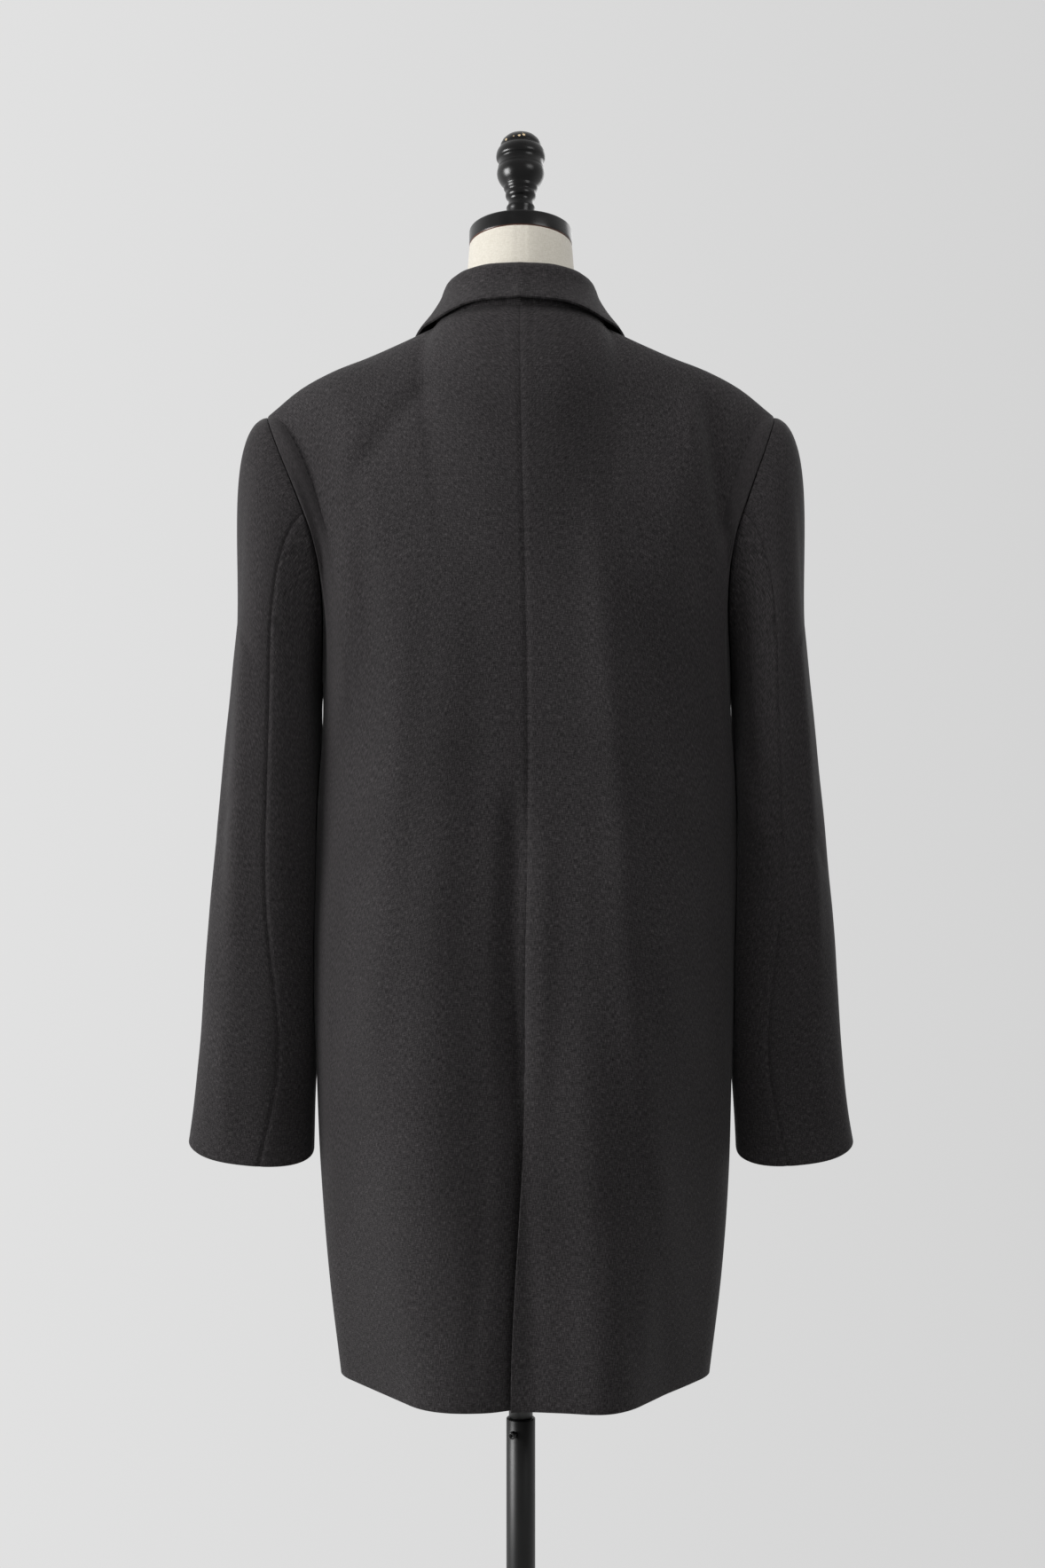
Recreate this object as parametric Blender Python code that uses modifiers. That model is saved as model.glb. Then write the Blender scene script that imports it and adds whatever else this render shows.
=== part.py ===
"""Tailored jacket on a limbless dress form, with a turned cap, a steel pole and a round base.

The jacket's front faces -Y and the wearer's left is +X. Sizes and tables are in millimetres.
The meshes are in metres, +Z up, with the origin at the centre of the base's underside.
"""

import math
from collections import namedtuple

import bmesh
import bpy
import numpy as np
from mathutils import Vector
from mathutils.bvhtree import BVHTree

MM = 0.001

# Cloth and seams
CLOTH = 2.0  # wall of the cloth
SEAM = 0.3  # between two pieces that are sewn together
SHOULDER_DRAW = 1.3  # the same, over the ridge of the shoulder
SEAM_DRAW = 0.62  # each edge is drawn in by this, so that the inner edges of a bent seam are apart too
HEAD_DRAW = 1.35  # the same, on the rounder seams of the sleeve head
SLEEVE_DRAW = 0.85  # the same, down the rest of the sleeve
LAY = 0.5  # between a piece and the one that it lies on
LEFT, RIGHT = 1, -1

# Heights of the jacket
HEM_Z = 489
VENT_Z = 759
UNDERARM = (179, 0, 1085)

# Share of a panel's height that follows the ring table. The rest sweeps up to its top edge.
RING_SHARE = 0.62
CLIMB = 0.55  # how far a panel keeps its lower course, as a share of the sweep's height

# Centre front and centre back
FRONT_LAP = 22  # each front passes centre front by this
FRONT_TUCK = 10.2  # the left front lies this much deeper where the right one covers it
VENT_UNDERLAP = 30
VENT_TUCK = 4.5
VENT_LEAN = 11  # the top panel's corner passes centre back by this at the hem
VENT_STEP = 14  # height over which the centre seam opens out into the underlap
BACK_HALF = 225  # width of a half back round the body

# Dress form
POLE_R = 12.7
INNER_POLE_R = 10.5
POLE_TOP_Z = 451
SCREW_Z = 440
SCREW_H = 7
SCREW_TURN = math.radians(24)  # round the pole from straight behind
FORM_BOTTOM_Z = 760
CAP_TILT = 10  # degrees, forward
CAP_R = 45.25
CAP_H = 14.5
CAP_CENTRE = (0, 2, 1480)  # centre of the cap's lower face
BASE_R = 175
BASE_H = 10
SOCKET_R = 24
SOCKET_H = 38
SCREW_R = 3.2


class Table:
    """Rows of named columns, read between the rows on a smooth curve. The first column is the station."""

    def __init__(self, columns, *rows):
        self.row = namedtuple("Row", columns)
        self.values = np.array(rows, float)
        self.stations = self.values[:, 0]
        self.slopes = np.gradient(self.values, self.stations, axis=0)

    def __call__(self, station):
        stations = self.stations
        station = min(max(station, stations[0]), stations[-1])
        i = min(max(int(np.searchsorted(stations, station)) - 1, 0), len(stations) - 2)
        step = stations[i + 1] - stations[i]
        t = (station - stations[i]) / step
        value = (
            (1 + 2 * t) * (1 - t) ** 2 * self.values[i]
            + t * t * (3 - 2 * t) * self.values[i + 1]
            + step * t * (1 - t) ** 2 * self.slopes[i]
            - step * t * t * (1 - t) * self.slopes[i + 1]
        )
        return self.row(*value)


# Half sections of the body: centre back, back corner, side, front corner, centre front
BODY = Table(
    "z cb_y back_x back_y side_x side_y front_x front_y cf_y round",
    (489, 116, 74, 117, 163, -10, 118, -118, -150, 34),
    (575, 118, 80, 118, 173, -6, 120, -116, -149, 40),
    (670, 120, 86, 118, 180, -3, 122, -113, -147, 48),
    (760, 120, 92, 117, 183, 0, 123, -109, -143, 56),
    (850, 118, 98, 114, 186, 2, 123, -106, -139, 62),
    (960, 114, 104, 110, 187, 4, 122, -102, -132, 66),
    (1060, 112, 108, 106, 182, 4, 119, -98, -126, 68),
    (1120, 112, 110, 105, 178, 4, 117, -96, -123, 70),
)

# The body stands a little to the wearer's right of the stand's axis
SWAY = Table(
    "z shift",
    (489, -4),
    (620, -4),
    (757, -3),
    (850, -3),
    (950, -5),
    (1060, -5.5),
    (1200, -3),
    (1330, 0),
    (1600, 0),
)

# Top edges of the panels. lean, turn and pull aim the cloth as it reaches the edge: degrees
# from upright, degrees outward from straight over the shoulder, and how firmly it is held.
BACK_NECK = Table(
    "part x y z lean turn pull",
    (0.0, 0, 76, 1414, 36, 0, 70),
    (0.35, 38, 66, 1413.5, 46, -14, 62),
    (0.7, 64, 40, 1411.5, 56, -20, 68),
    (1.0, 74, 5, 1409, 70, -20, 88),
)
SHOULDER = Table(
    "part x y z lean turn pull",
    (0.0, 74, 5, 1409, 70, -20, 88),
    (0.2, 104, 4, 1394, 84, -8, 80),
    (0.4, 133, 3, 1381, 90, 0, 80),
    (0.6, 163, 2, 1369.5, 90, 0, 80),
    (0.8, 193, 1, 1354, 92, 4, 60),
    (1.0, 222.5, 0, 1331, 98, 24, 60),
)
BACK_ARMHOLE = Table(
    "part x y z lean turn pull",
    (0.0, 222.5, 0, 1331, 98, 24, 60),
    (0.08, 220, 21, 1324, 80, 38, 54),
    (0.22, 210, 45, 1298, 50, 50, 56),
    (0.38, 193, 61, 1255, 30, 60, 64),
    (0.54, 179, 61, 1214, 18, 72, 62),
    (0.7, 174, 49, 1164, 10, 80, 60),
    (0.86, 177, 27, 1110, 4, 88, 60),
    (1.0, *UNDERARM, 0, 90, 60),
)
FRONT_ARMHOLE = Table(
    "part x y z lean turn pull",
    (0.0, *UNDERARM, 0, 90, 60),
    (0.16, 178, -25, 1106, 4, 90, 60),
    (0.34, 175, -46, 1146, 8, 88, 60),
    (0.52, 174, -55, 1194, 16, 82, 60),
    (0.7, 185, -51, 1242, 30, 75, 55),
    (0.86, 206, -38, 1292, 50, 56, 54),
    (0.95, 220, -18, 1323, 80, 38, 54),
    (1.0, 222.5, 0, 1331, 98, 24, 60),
)
FRONT_NECK = Table(
    "part x y z lean turn pull",
    (0.0, 74, 5, 1409, 70, -20, 88),
    (0.35, 70, -21, 1397, 60, -16, 68),
    (0.7, 61, -44, 1375, 42, -12, 58),
    (1.0, 50, -62, 1350, 34, 0, 60),
)
ROLL = Table(
    "part x y z lean turn pull",
    (0.0, 50, -62, 1350, 34, 0, 60),
    (0.25, 32, -90, 1272, 25, 0, 60),
    (0.5, 14, -111, 1195, 16, 0, 60),
    (0.75, -4, -123, 1117, 8, 0, 60),
    (1.0, -FRONT_LAP, -128, 1040, 3, 0, 60),
)

# Where the stretches of each top edge meet, as shares of the panel's width
BACK_EDGE = ((0.0, BACK_NECK), (0.24, SHOULDER), (0.62, BACK_ARMHOLE), (1.0, None))
FRONT_EDGE = ((0.0, FRONT_ARMHOLE), (0.36, lambda part: SHOULDER(1 - part)), (0.62, FRONT_NECK), (0.72, ROLL), (1.0, None))

# Largest folds of the back, on the wearer's left (+x) and right (-x): a ridge has a depth over 0
Fold = namedtuple("Fold", "x_top z_top x_mid z_mid x_low z_low depth width")
BACK_FOLDS = (
    Fold(100, 1190, 120, 900, 138, 715, 4.0, 17),
    Fold(66, 1010, 84, 820, 90, 630, 2.5, 30),
    Fold(46, 1110, 52, 860, 40, 600, -3.0, 22),
    Fold(13, 975, 14, 860, 12, 750, -4.0, 12),
    Fold(74, 1352, 108, 1315, 138, 1268, -3.5, 13),
    Fold(148, 1300, 152, 1270, 154, 1238, 2.5, 9),
    Fold(148, 1232, 154, 1134, 164, 1045, 5.0, 12),
    Fold(-60, 1246, -84, 900, -118, 600, 4.0, 15),
    Fold(-96, 1158, -122, 1040, -136, 930, -4.0, 20),
    Fold(-116, 890, -116, 850, -120, 800, 3.0, 12),
    Fold(-140, 1318, -150, 1255, -154, 1200, -4.0, 10),
    Fold(-154, 1240, -159, 1140, -166, 1045, 4.5, 11),
    Fold(-30, 700, -34, 620, -40, 500, 3.0, 16),
)
FRONT_FOLDS = (
    Fold(96, 1230, 104, 960, 112, 640, 3.5, 18),
    Fold(140, 1120, 142, 900, 136, 620, -3.0, 16),
    Fold(62, 940, 70, 780, 74, 560, -2.5, 20),
    Fold(-90, 1240, -100, 940, -106, 600, 3.5, 18),
    Fold(-138, 1100, -140, 880, -134, 640, -3.0, 16),
    Fold(-60, 960, -66, 760, -72, 540, -2.5, 22),
)

# Sleeve rings under the armhole: outermost x, centre y and half depth
SLEEVE = Table(
    "z outer mid_y half_y inner",
    (680, 296, -16, 45, 187),
    (715, 290, -15, 47, 186),
    (777, 283, -13, 52, 182),
    (870, 276, -9, 59, 178),
    (963, 267, -5, 65, 178),
    (1060, 257, -2, 71, 180),
    (1150, 247, 0, 74, 178),
)
SLEEVE_SQUARE = 2.3  # power of the ring's superellipse
SLEEVE_JOIN = (1090, 60)  # height where the head meets the rings, and its rise over the outer side
SLEEVE_INSIDE = 215  # nearer to the body than this, the sleeve is kept clear of it
CUFF = (680, 0.107, -0.279)  # height at the inner side, rise for each mm outward and backward
HEAD_SHARE = 0.3  # share of the sleeve's rows that makes its head
HEAD_ROWS = 6
ARM_ROWS = 9
SLEEVE_OFF = 1.4  # the sleeve head starts this far outside the armhole
BODY_CLEAR = 1.5  # between sleeve and body
BODY_MIDDLE = Vector((0, 0, 1150))  # the outer side of the cloth faces away from here

# Where the elbow seam and the front seam run round the sleeve, in degrees from its outer side
SLEEVE_SEAMS = Table(
    "part elbow front",
    (0.0, 80, 290),
    (0.3, 91, 286),
    (0.6, 94, 284),
    (0.85, 112, 286),
    (1.0, 101, 288),
)

# Soft creases of the sleeves, by their angle round the sleeve
Crease = namedtuple("Crease", "side angle_top z_top angle_low z_low depth width")
SLEEVE_CREASES = (
    Crease(LEFT, 52, 1190, 68, 830, 3.0, 12),
    Crease(RIGHT, 54, 1180, 62, 800, 3.0, 12),
    Crease(LEFT, 30, 1080, 40, 900, -2.5, 14),
    Crease(RIGHT, 150, 1030, 120, 960, 2.5, 16),
    Crease(LEFT, 300, 1060, 320, 860, 3.0, 16),
    Crease(RIGHT, 305, 1080, 330, 880, 3.0, 16),
)

# Collar: neck seam, top of the roll and free edge, from centre back (0) to the gorge end (1)
COLLAR = Table(
    "part n_x n_y n_z r_x r_y r_z e_x e_y e_z",
    (0.0, 0, 74.4, 1415, 0, 59, 1453, 0, 83, 1420),
    (0.2, 36, 64.9, 1414.5, 30, 52, 1452.5, 43, 73, 1417),
    (0.4, 62, 40, 1412.5, 52, 28, 1450.5, 75, 40, 1408.5),
    (0.55, 71.8, 8, 1410, 60, 0, 1447, 90, 2, 1406),
    (0.7, 69, -18, 1399, 61, -26, 1427, 102, -34, 1386),
    (0.85, 61, -42, 1378, 57, -49, 1397, 110, -66, 1352),
    (1.0, 50, -61, 1354, 50.5, -66, 1360, 113, -84, 1320),
)
ROLL_R = 4.0  # radius of the fold at the top of the collar
COLLAR_PUFF = 2.2  # how far the fall swells between its fold and its edge
LAPEL_PUFF = 1.6
GORGE_GAP = 0.6  # between collar and lapel at the gorge
GORGE_NOTCH = (95, 1300)
LAPEL_LAY = {LEFT: 3.2, RIGHT: 2.3}  # between a lapel and the front's curve under it
LAPEL_SLANT = 0.94  # cosine of the front's slope under the lapels
LAPEL_TIP = (119, 1281)
LAPEL_EDGE = Table("part x z", (0.0, *LAPEL_TIP), (0.3, 95, 1219), (0.6, 48, 1139), (1.0, -20, 1042))

BUTTON_R = 11.5
BUTTON_H = 4.0
BUTTONS = (("button_top", 1020), ("button_low", 905))

# Dress form: rings from its flat underside to the top of the neck
FORM = Table(
    "z half_x back_y front_y power",
    (FORM_BOTTOM_Z, 157, 96, -112, 2.2),
    (820, 164, 100, -114, 2.2),
    (900, 146, 92, -102, 2.2),
    (1000, 118, 82, -92, 2.2),
    (1100, 132, 86, -102, 2.2),
    (1180, 146, 90, -94, 2.2),
    (1250, 157, 86, -76, 2.1),
    (1300, 163, 72, -58, 1.9),
    (1335, 163, 54, -44, 1.8),
    (1358, 150, 46, -37, 1.6),
    (1376, 124, 43, -35, 1.5),
    (1392, 95, 45, -37, 1.6),
    (1408, 69, 51, -42, 1.8),
    (1428, 56, 58, -47, 2.0),
    (1450, 48.5, 53, -44, 2.0),
    (1480, 45, 47, -43, 2.0),
)
NECK_TOP_Z = 1479.3
FORM_SIDES = 36
FORM_HEIGHTS = (760, 775, 820, 880, 950, 1020, 1090, 1150, 1200, 1250, 1290, 1320, 1342, 1358, 1372, 1384, 1396, 1410, 1428, 1450, NECK_TOP_Z)
FORM_CLEAR = 0.6  # between the form's shoulders and the cloth that hangs on them
FORM_DRESSED = (1000, 1440)  # heights between which the cloth lies near the form

# Turned profiles: radius and height up the cap's axis
FINIAL = (
    (0, 0.0), (15.5, 0.0), (15.5, 2.5), (12.4, 6.5), (11.4, 13.0), (12.6, 20.5), (12.2, 23.0), (10.8, 27.0),
    (13.4, 33.5), (13.2, 37.5), (14.9, 41.0), (18.4, 46.0), (21.1, 53.0), (20.5, 57.5), (19.7, 61.0),
    (19.8, 65.5), (21.6, 67.5), (21.8, 70.0), (20.4, 75.2), (18.1, 78.6), (17.2, 82.2), (12.8, 87.6),
    (7.0, 90.6), (0, 91.8),
)  # fmt: skip


def smooth_step(value, low, high):
    """0 up to low, 1 from high on, and a soft slope between them."""
    t = min(max((value - low) / (high - low), 0.0), 1.0)
    return t * t * (3 - 2 * t)


def unit(vector):
    return vector / np.linalg.norm(vector)


def ring_point(z, s):
    """A point of the body's section: s is 0 at centre back, 1 at the side and 2 at centre front."""
    row = BODY(z)
    named = ((0, row.cb_y), (row.back_x, row.back_y), (row.side_x, row.side_y),
             (row.front_x, row.front_y), (0, row.cf_y))  # fmt: skip
    corners = np.array([(-row.back_x, row.back_y), *named, (-row.front_x, row.front_y)])
    edges = np.diff(corners, axis=0)
    along = edges / np.linalg.norm(edges, axis=1)[:, None]
    # Rounding draws each corner in, so the corners start that much further out
    corners[1:-1] -= 0.25 * row.round * np.diff(along, axis=0)
    reach = np.concatenate([[0], np.cumsum(np.linalg.norm(np.diff(corners, axis=0), axis=1))])
    back, side, front = reach[1], reach[3], reach[5]
    place = back + s * (side - back) if s < 1 else side + (s - 1) * (front - side)
    window = place + row.round * np.arange(-4, 5) * 2 / 9
    x = np.interp(window, reach, corners[:, 0]).mean()
    y = np.interp(window, reach, corners[:, 1]).mean()
    return np.array((x, y, z))


def ring_reach(z):
    """Length of the section from the side to centre front, near enough to share out the front lap."""
    row = BODY(z)
    corner = math.dist((row.side_x, row.side_y), (row.front_x, row.front_y))
    return corner + math.dist((row.front_x, row.front_y), (0, row.cf_y))


def top_edge(edge, u):
    """Where a panel's top edge is at a share of its width, and how the cloth arrives there."""
    for (start, stretch), (end, _) in zip(edge, edge[1:]):
        if u <= end:
            return stretch((u - start) / (end - start))
    return edge[-2][1](1.0)


def fold_lift(folds, x, z):
    """How far the folds lift the cloth at a place that is seen from straight behind or in front."""
    lift = 0.0
    for fold in folds:
        t = (fold.z_top - z) / (fold.z_top - fold.z_low)
        if -0.15 < t < 1.15:
            middle = (fold.z_top - fold.z_mid) / (fold.z_top - fold.z_low)
            path = np.interp(t, (0, middle, 1), (fold.x_top, fold.x_mid, fold.x_low))
            fade = smooth_step(t, -0.15, 0.2) * (1 - smooth_step(t, 0.75, 1.15))
            lift += fold.depth * fade * math.exp(-(((x - path) / fold.width) ** 2))
    return lift


def panel_point(u, f, is_front, side):
    """A point of a half panel: u runs over its width and f from the hem to its top edge."""
    edge = top_edge(FRONT_EDGE if is_front else BACK_EDGE, u)
    over = 1 if is_front else -1
    join_z = HEM_Z + RING_SHARE * (edge.z - HEM_Z)
    z = HEM_Z + min(f / RING_SHARE, 1.0) * (join_z - HEM_Z)
    if is_front:
        s = 1 + u * (1 + FRONT_LAP / ring_reach(z))
    else:
        s = u + (1 - u) ** 4 * vent_shift(z, side)
    start = ring_point(z, s)
    if f <= RING_SHARE:
        point = start
    else:
        t = (f - RING_SHARE) / (1 - RING_SHARE)
        climb = unit(start - ring_point(z - 10, s))
        lean, turn = math.radians(edge.lean), math.radians(edge.turn)
        arrive = np.array((math.sin(turn) * math.sin(lean), over * math.cos(turn) * math.sin(lean), math.cos(lean)))
        end = np.array((edge.x, edge.y, edge.z))
        first = start + climb * CLIMB * (edge.z - join_z)
        last = end - arrive * edge.pull
        point = (1 - t) ** 3 * start + 3 * t * (1 - t) ** 2 * first + 3 * t * t * (1 - t) * last + t**3 * end
    return place_on_body(point, f, is_front, side)


def vent_shift(z, side):
    """How far a back panel's centre edge passes centre back below the vent's top, as a share of its width."""
    if side == LEFT:
        return -VENT_UNDERLAP / BACK_HALF * (1 - smooth_step(z, VENT_Z - VENT_STEP, VENT_Z))
    return -VENT_LEAN / BACK_HALF * (1 - smooth_step(z, HEM_Z, VENT_Z))


def place_on_body(point, f, is_front, side):
    """Adds folds, tucks and sway to a point of the half body, and mirrors it to its side."""
    x, y, z = point
    free = 1 - smooth_step(f, 0.93, 1.0)
    folds = FRONT_FOLDS if is_front else BACK_FOLDS
    out = fold_lift(folds, side * x, z) * free * (1 - smooth_step(abs(x), 165, 180))
    if side == LEFT and is_front:
        out -= FRONT_TUCK * (1 - smooth_step(x, 30, 75)) * (1 - smooth_step(z, 1150, 1330))
    if side == LEFT and not is_front:
        out -= VENT_TUCK * (1 - smooth_step(x, 8, 60)) * (1 - smooth_step(z, VENT_Z - 10, 960))
    y += -out if is_front else out
    return np.array((side * x + SWAY(z).shift, y, z))


def spread(*stretches):
    """Shares from one break to the next, each stretch cut in its own number of steps."""
    shares = [stretches[0][0]]
    for (start, steps), (end, _) in zip(stretches, stretches[1:]):
        shares += list(np.linspace(start, end, steps + 1)[1:])
    return shares


def material(name, colour, roughness, metallic=0.0):
    made = bpy.data.materials.new(name)
    made.diffuse_color = (*colour, 1)
    made.use_nodes = True
    shader = made.node_tree.nodes["Principled BSDF"]
    shader.inputs["Base Color"].default_value = (*colour, 1)
    shader.inputs["Roughness"].default_value = roughness
    shader.inputs["Metallic"].default_value = metallic
    return made


def new_object(name, mesh, finish, group):
    made = bpy.data.objects.new(name, mesh)
    mesh.materials.append(finish)
    group.objects.link(made)
    return made


def grid_mesh(name, grid, closed=False, inside_out=False):
    """A mesh through rows of points in millimetres. A closed one joins each row's ends."""
    rows, columns = len(grid), len(grid[0])
    mesh_points = [Vector(point) * MM for row in grid for point in row]
    span = columns if closed else columns - 1
    faces = []
    for j in range(rows - 1):
        for i in range(span):
            k = (i + 1) % columns
            face = (j * columns + i, j * columns + k, (j + 1) * columns + k, (j + 1) * columns + i)
            faces.append(face[::-1] if inside_out else face)
    mesh = bpy.data.meshes.new(name)
    mesh.from_pydata(mesh_points, [], faces)
    mesh.validate()
    mesh.shade_smooth()
    return mesh


def cloth_piece(name, grid, finish, group, inside_out=False):
    """A wall of cloth under a grid of outer points. inside_out turns its outer side over."""
    made = new_object(name, grid_mesh(name, grid, inside_out=inside_out), finish, group)
    wall = made.modifiers.new("wall", "SOLIDIFY")
    wall.thickness = CLOTH * MM
    wall.offset = -1
    return made


def draw_in(grid, first=0.0, last=0.0, top=0.0):
    """Draws a grid's edges in along the cloth, to leave room at its seams. A side may have an amount a row."""
    grid = np.array(grid, float)
    step = grid[-2] - grid[-1]
    grid[-1] += top * step / np.linalg.norm(step, axis=1)[:, None]
    for amount, edge, inner in ((first, 0, 1), (last, -1, -2)):
        step = grid[:, inner] - grid[:, edge]
        grid[:, edge] += amount * step / np.linalg.norm(step, axis=1)[:, None]
    return grid


def surface_tree(grids):
    """A search tree over the outer surfaces of several grids, in millimetres."""
    points, faces = [], []
    for grid in grids:
        rows, columns = grid.shape[:2]
        start = len(points)
        points += [Vector(point) for row in grid for point in row]
        for j in range(rows - 1):
            for i in range(columns - 1):
                low = start + j * columns + i
                faces.append((low, low + 1, low + columns + 1, low + columns))
    return BVHTree.FromPolygons(points, faces)


def push_clear(tree, point, clear, away):
    """Moves a point along away until it is clear of a surface that it is near or behind."""
    point, away = Vector(point), Vector(away).normalized()
    hit = tree.ray_cast(point - away * 40, away, 80)
    if hit[0] is not None:
        point += away * max(0.0, (hit[0] - point).dot(away) + clear)
    return np.array(point)


def body_panel(is_front, side):
    """Grid of a half panel's outer points, rows from the hem up."""
    if is_front:
        widths = spread((0.0, 6), (0.36, 4), (0.62, 2), (0.72, 4), (1.0, 0))
        heights = spread((0.0, 9), (RING_SHARE, 5), (0.92, 4), (1.0, 0))
    else:
        widths = spread((0.0, 4), (0.24, 4), (0.62, 6), (1.0, 0))
        heights = spread((0.0, 4), (0.28, 1), (0.3, 5), (RING_SHARE, 5), (0.92, 4), (1.0, 0))
    return [[panel_point(u, f, is_front, side) for u in widths] for f in heights]


def sleeve_ring(z, angle, side):
    """A point of the sleeve's section: the angle is 0 on the outer side and 90 at the back."""
    row = SLEEVE(z)
    inner = row.inner + side * SWAY(z).shift
    middle, half = (row.outer + inner) / 2, (row.outer - inner) / 2
    c, s = math.cos(math.radians(angle)), math.sin(math.radians(angle))
    x = middle + half * math.copysign(abs(c) ** (2 / SLEEVE_SQUARE), c)
    y = row.mid_y + row.half_y * math.copysign(abs(s) ** (2 / SLEEVE_SQUARE), s)
    return np.array((x, y, z))


def armhole_point(angle):
    """The armhole's edge, by the same angle as the sleeve's section."""
    if angle <= 180:
        edge = BACK_ARMHOLE(angle / 180)
    else:
        edge = FRONT_ARMHOLE((angle - 180) / 180)
    return np.array((edge.x, edge.y, edge.z))


def sleeve_point(angle, t, side):
    """A point of the sleeve: t is 0 at the armhole, HEAD_SHARE where the head ends and 1 at the cuff."""
    c, s = math.cos(math.radians(angle)), math.sin(math.radians(angle))
    join_z = SLEEVE_JOIN[0] + SLEEVE_JOIN[1] * c
    if t < HEAD_SHARE:
        k = t / HEAD_SHARE
        outward = max(0.0, (1 + c) / 2)
        leave = unit(np.array((0.55 + 0.7 * outward, 0.45 * s * outward, -0.5 * (1 - outward) - 0.35 * outward)))
        start = armhole_point(angle) + leave * SLEEVE_OFF
        start[0] += SWAY(start[2]).shift * side
        end = sleeve_ring(join_z, angle, side)
        drop = unit(end - sleeve_ring(join_z + 10, angle, side))
        reach = np.linalg.norm(end - start)
        first = start + leave * reach * (0.3 - 0.1 * outward)
        last = end - drop * reach * 0.42
        point = (1 - k) ** 3 * start + 3 * k * (1 - k) ** 2 * first + 3 * k * k * (1 - k) * last + k**3 * end
    else:
        k = (t - HEAD_SHARE) / (1 - HEAD_SHARE)
        base, rise, slope = CUFF
        cuff = sleeve_ring(base, angle, side)
        cuff_z = base + rise * (cuff[0] - SLEEVE.values[0][4]) + slope * cuff[1]
        z = join_z + k * (cuff_z - join_z)
        point = sleeve_ring(z, angle, side)
        lift = sleeve_lift(angle, z, side)
        point[:2] += unit(point[:2] - np.array((row_middle(z, side), SLEEVE(z).mid_y))) * lift
    return point


def row_middle(z, side):
    """Middle of the sleeve's section across the body."""
    row = SLEEVE(z)
    return (row.outer + row.inner + side * SWAY(z).shift) / 2


def sleeve_lift(angle, z, side):
    """How far the sleeve's creases lift the cloth."""
    lift = 0.0
    for crease in SLEEVE_CREASES:
        if crease.side == side:
            t = (crease.z_top - z) / (crease.z_top - crease.z_low)
            if -0.2 < t < 1.2:
                path = crease.angle_top + t * (crease.angle_low - crease.angle_top)
                fade = smooth_step(t, -0.2, 0.3) * (1 - smooth_step(t, 0.7, 1.2))
                turn = (angle - path + 180) % 360 - 180
                lift += crease.depth * fade * math.exp(-((turn / crease.width) ** 2))
    return lift


def sleeve_piece(side, is_upper, steps, tree):
    """Grid of one sleeve piece, from the elbow seam over the outer or the inner side to the front seam."""
    rows = []
    for t in spread((0.0, HEAD_ROWS), (HEAD_SHARE, ARM_ROWS), (1.0, 0)):
        seams = SLEEVE_SEAMS(t)
        first, last = (seams.front - 360, seams.elbow) if is_upper else (seams.elbow, seams.front)
        row = []
        for angle in np.linspace(first, last, steps + 1):
            x, y, z = sleeve_point(angle % 360, t, side)
            point = np.array((side * x, y, z))
            if x < SLEEVE_INSIDE and t > 0.12:
                point = push_clear(tree, point, BODY_CLEAR + CLOTH, (side, 0, 0))
            row.append(point)
        rows.append(row)
    draws = np.array([HEAD_DRAW] * (HEAD_ROWS + 1) + [SLEEVE_DRAW] * ARM_ROWS)[:, None]
    return draw_in(rows, first=draws, last=draws)


def collar_row(part, side, tree):
    """A row across the collar, from the neck seam over the roll to its free edge."""
    c = COLLAR(part)
    neck, roll, edge = (np.array(p) for p in ((c.n_x, c.n_y, c.n_z), (c.r_x, c.r_y, c.r_z), (c.e_x, c.e_y, c.e_z)))
    out = unit((edge - roll) * (1, 1, 0))
    up = np.array((0, 0, 1.0))
    inside = roll - out * ROLL_R - up * ROLL_R
    outside = roll + out * ROLL_R - up * ROLL_R * 0.6
    row = [neck, neck + (inside - neck) * 0.5, inside, roll, outside]
    puff = unit(np.cross(np.cross(out, up), edge - outside)) * -1
    for share in (0.33, 0.67, 1.0):
        bulge = COLLAR_PUFF * math.sin(math.pi * share)
        row.append(outside + (edge - outside) * share + puff * bulge)
    row = [np.array((side * x + SWAY(z).shift, y, z)) for x, y, z in row]
    for i in range(4, len(row)):
        row[i] = lie_over(tree, row[i], CLOTH + 2 * LAY)
    return row


def lie_over(tree, point, clear):
    """Lifts a point off the nearest cloth until it is clear of it."""
    near, normal, _, _ = tree.find_nearest(Vector(point))
    if normal.dot(near - BODY_MIDDLE) < 0:
        normal = -normal
    height = (Vector(point) - near).dot(normal)
    if height < clear:
        point = point + np.array(normal) * (clear - height)
    return point


def collar_grid(tree):
    parts = (1.0, 0.9, 0.8, 0.68, 0.55, 0.44, 0.32, 0.2, 0.1, 0.0)
    rows = [collar_row(part, LEFT, tree) for part in parts]
    rows += [collar_row(part, RIGHT, tree) for part in parts[-2::-1]]
    return rows


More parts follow.
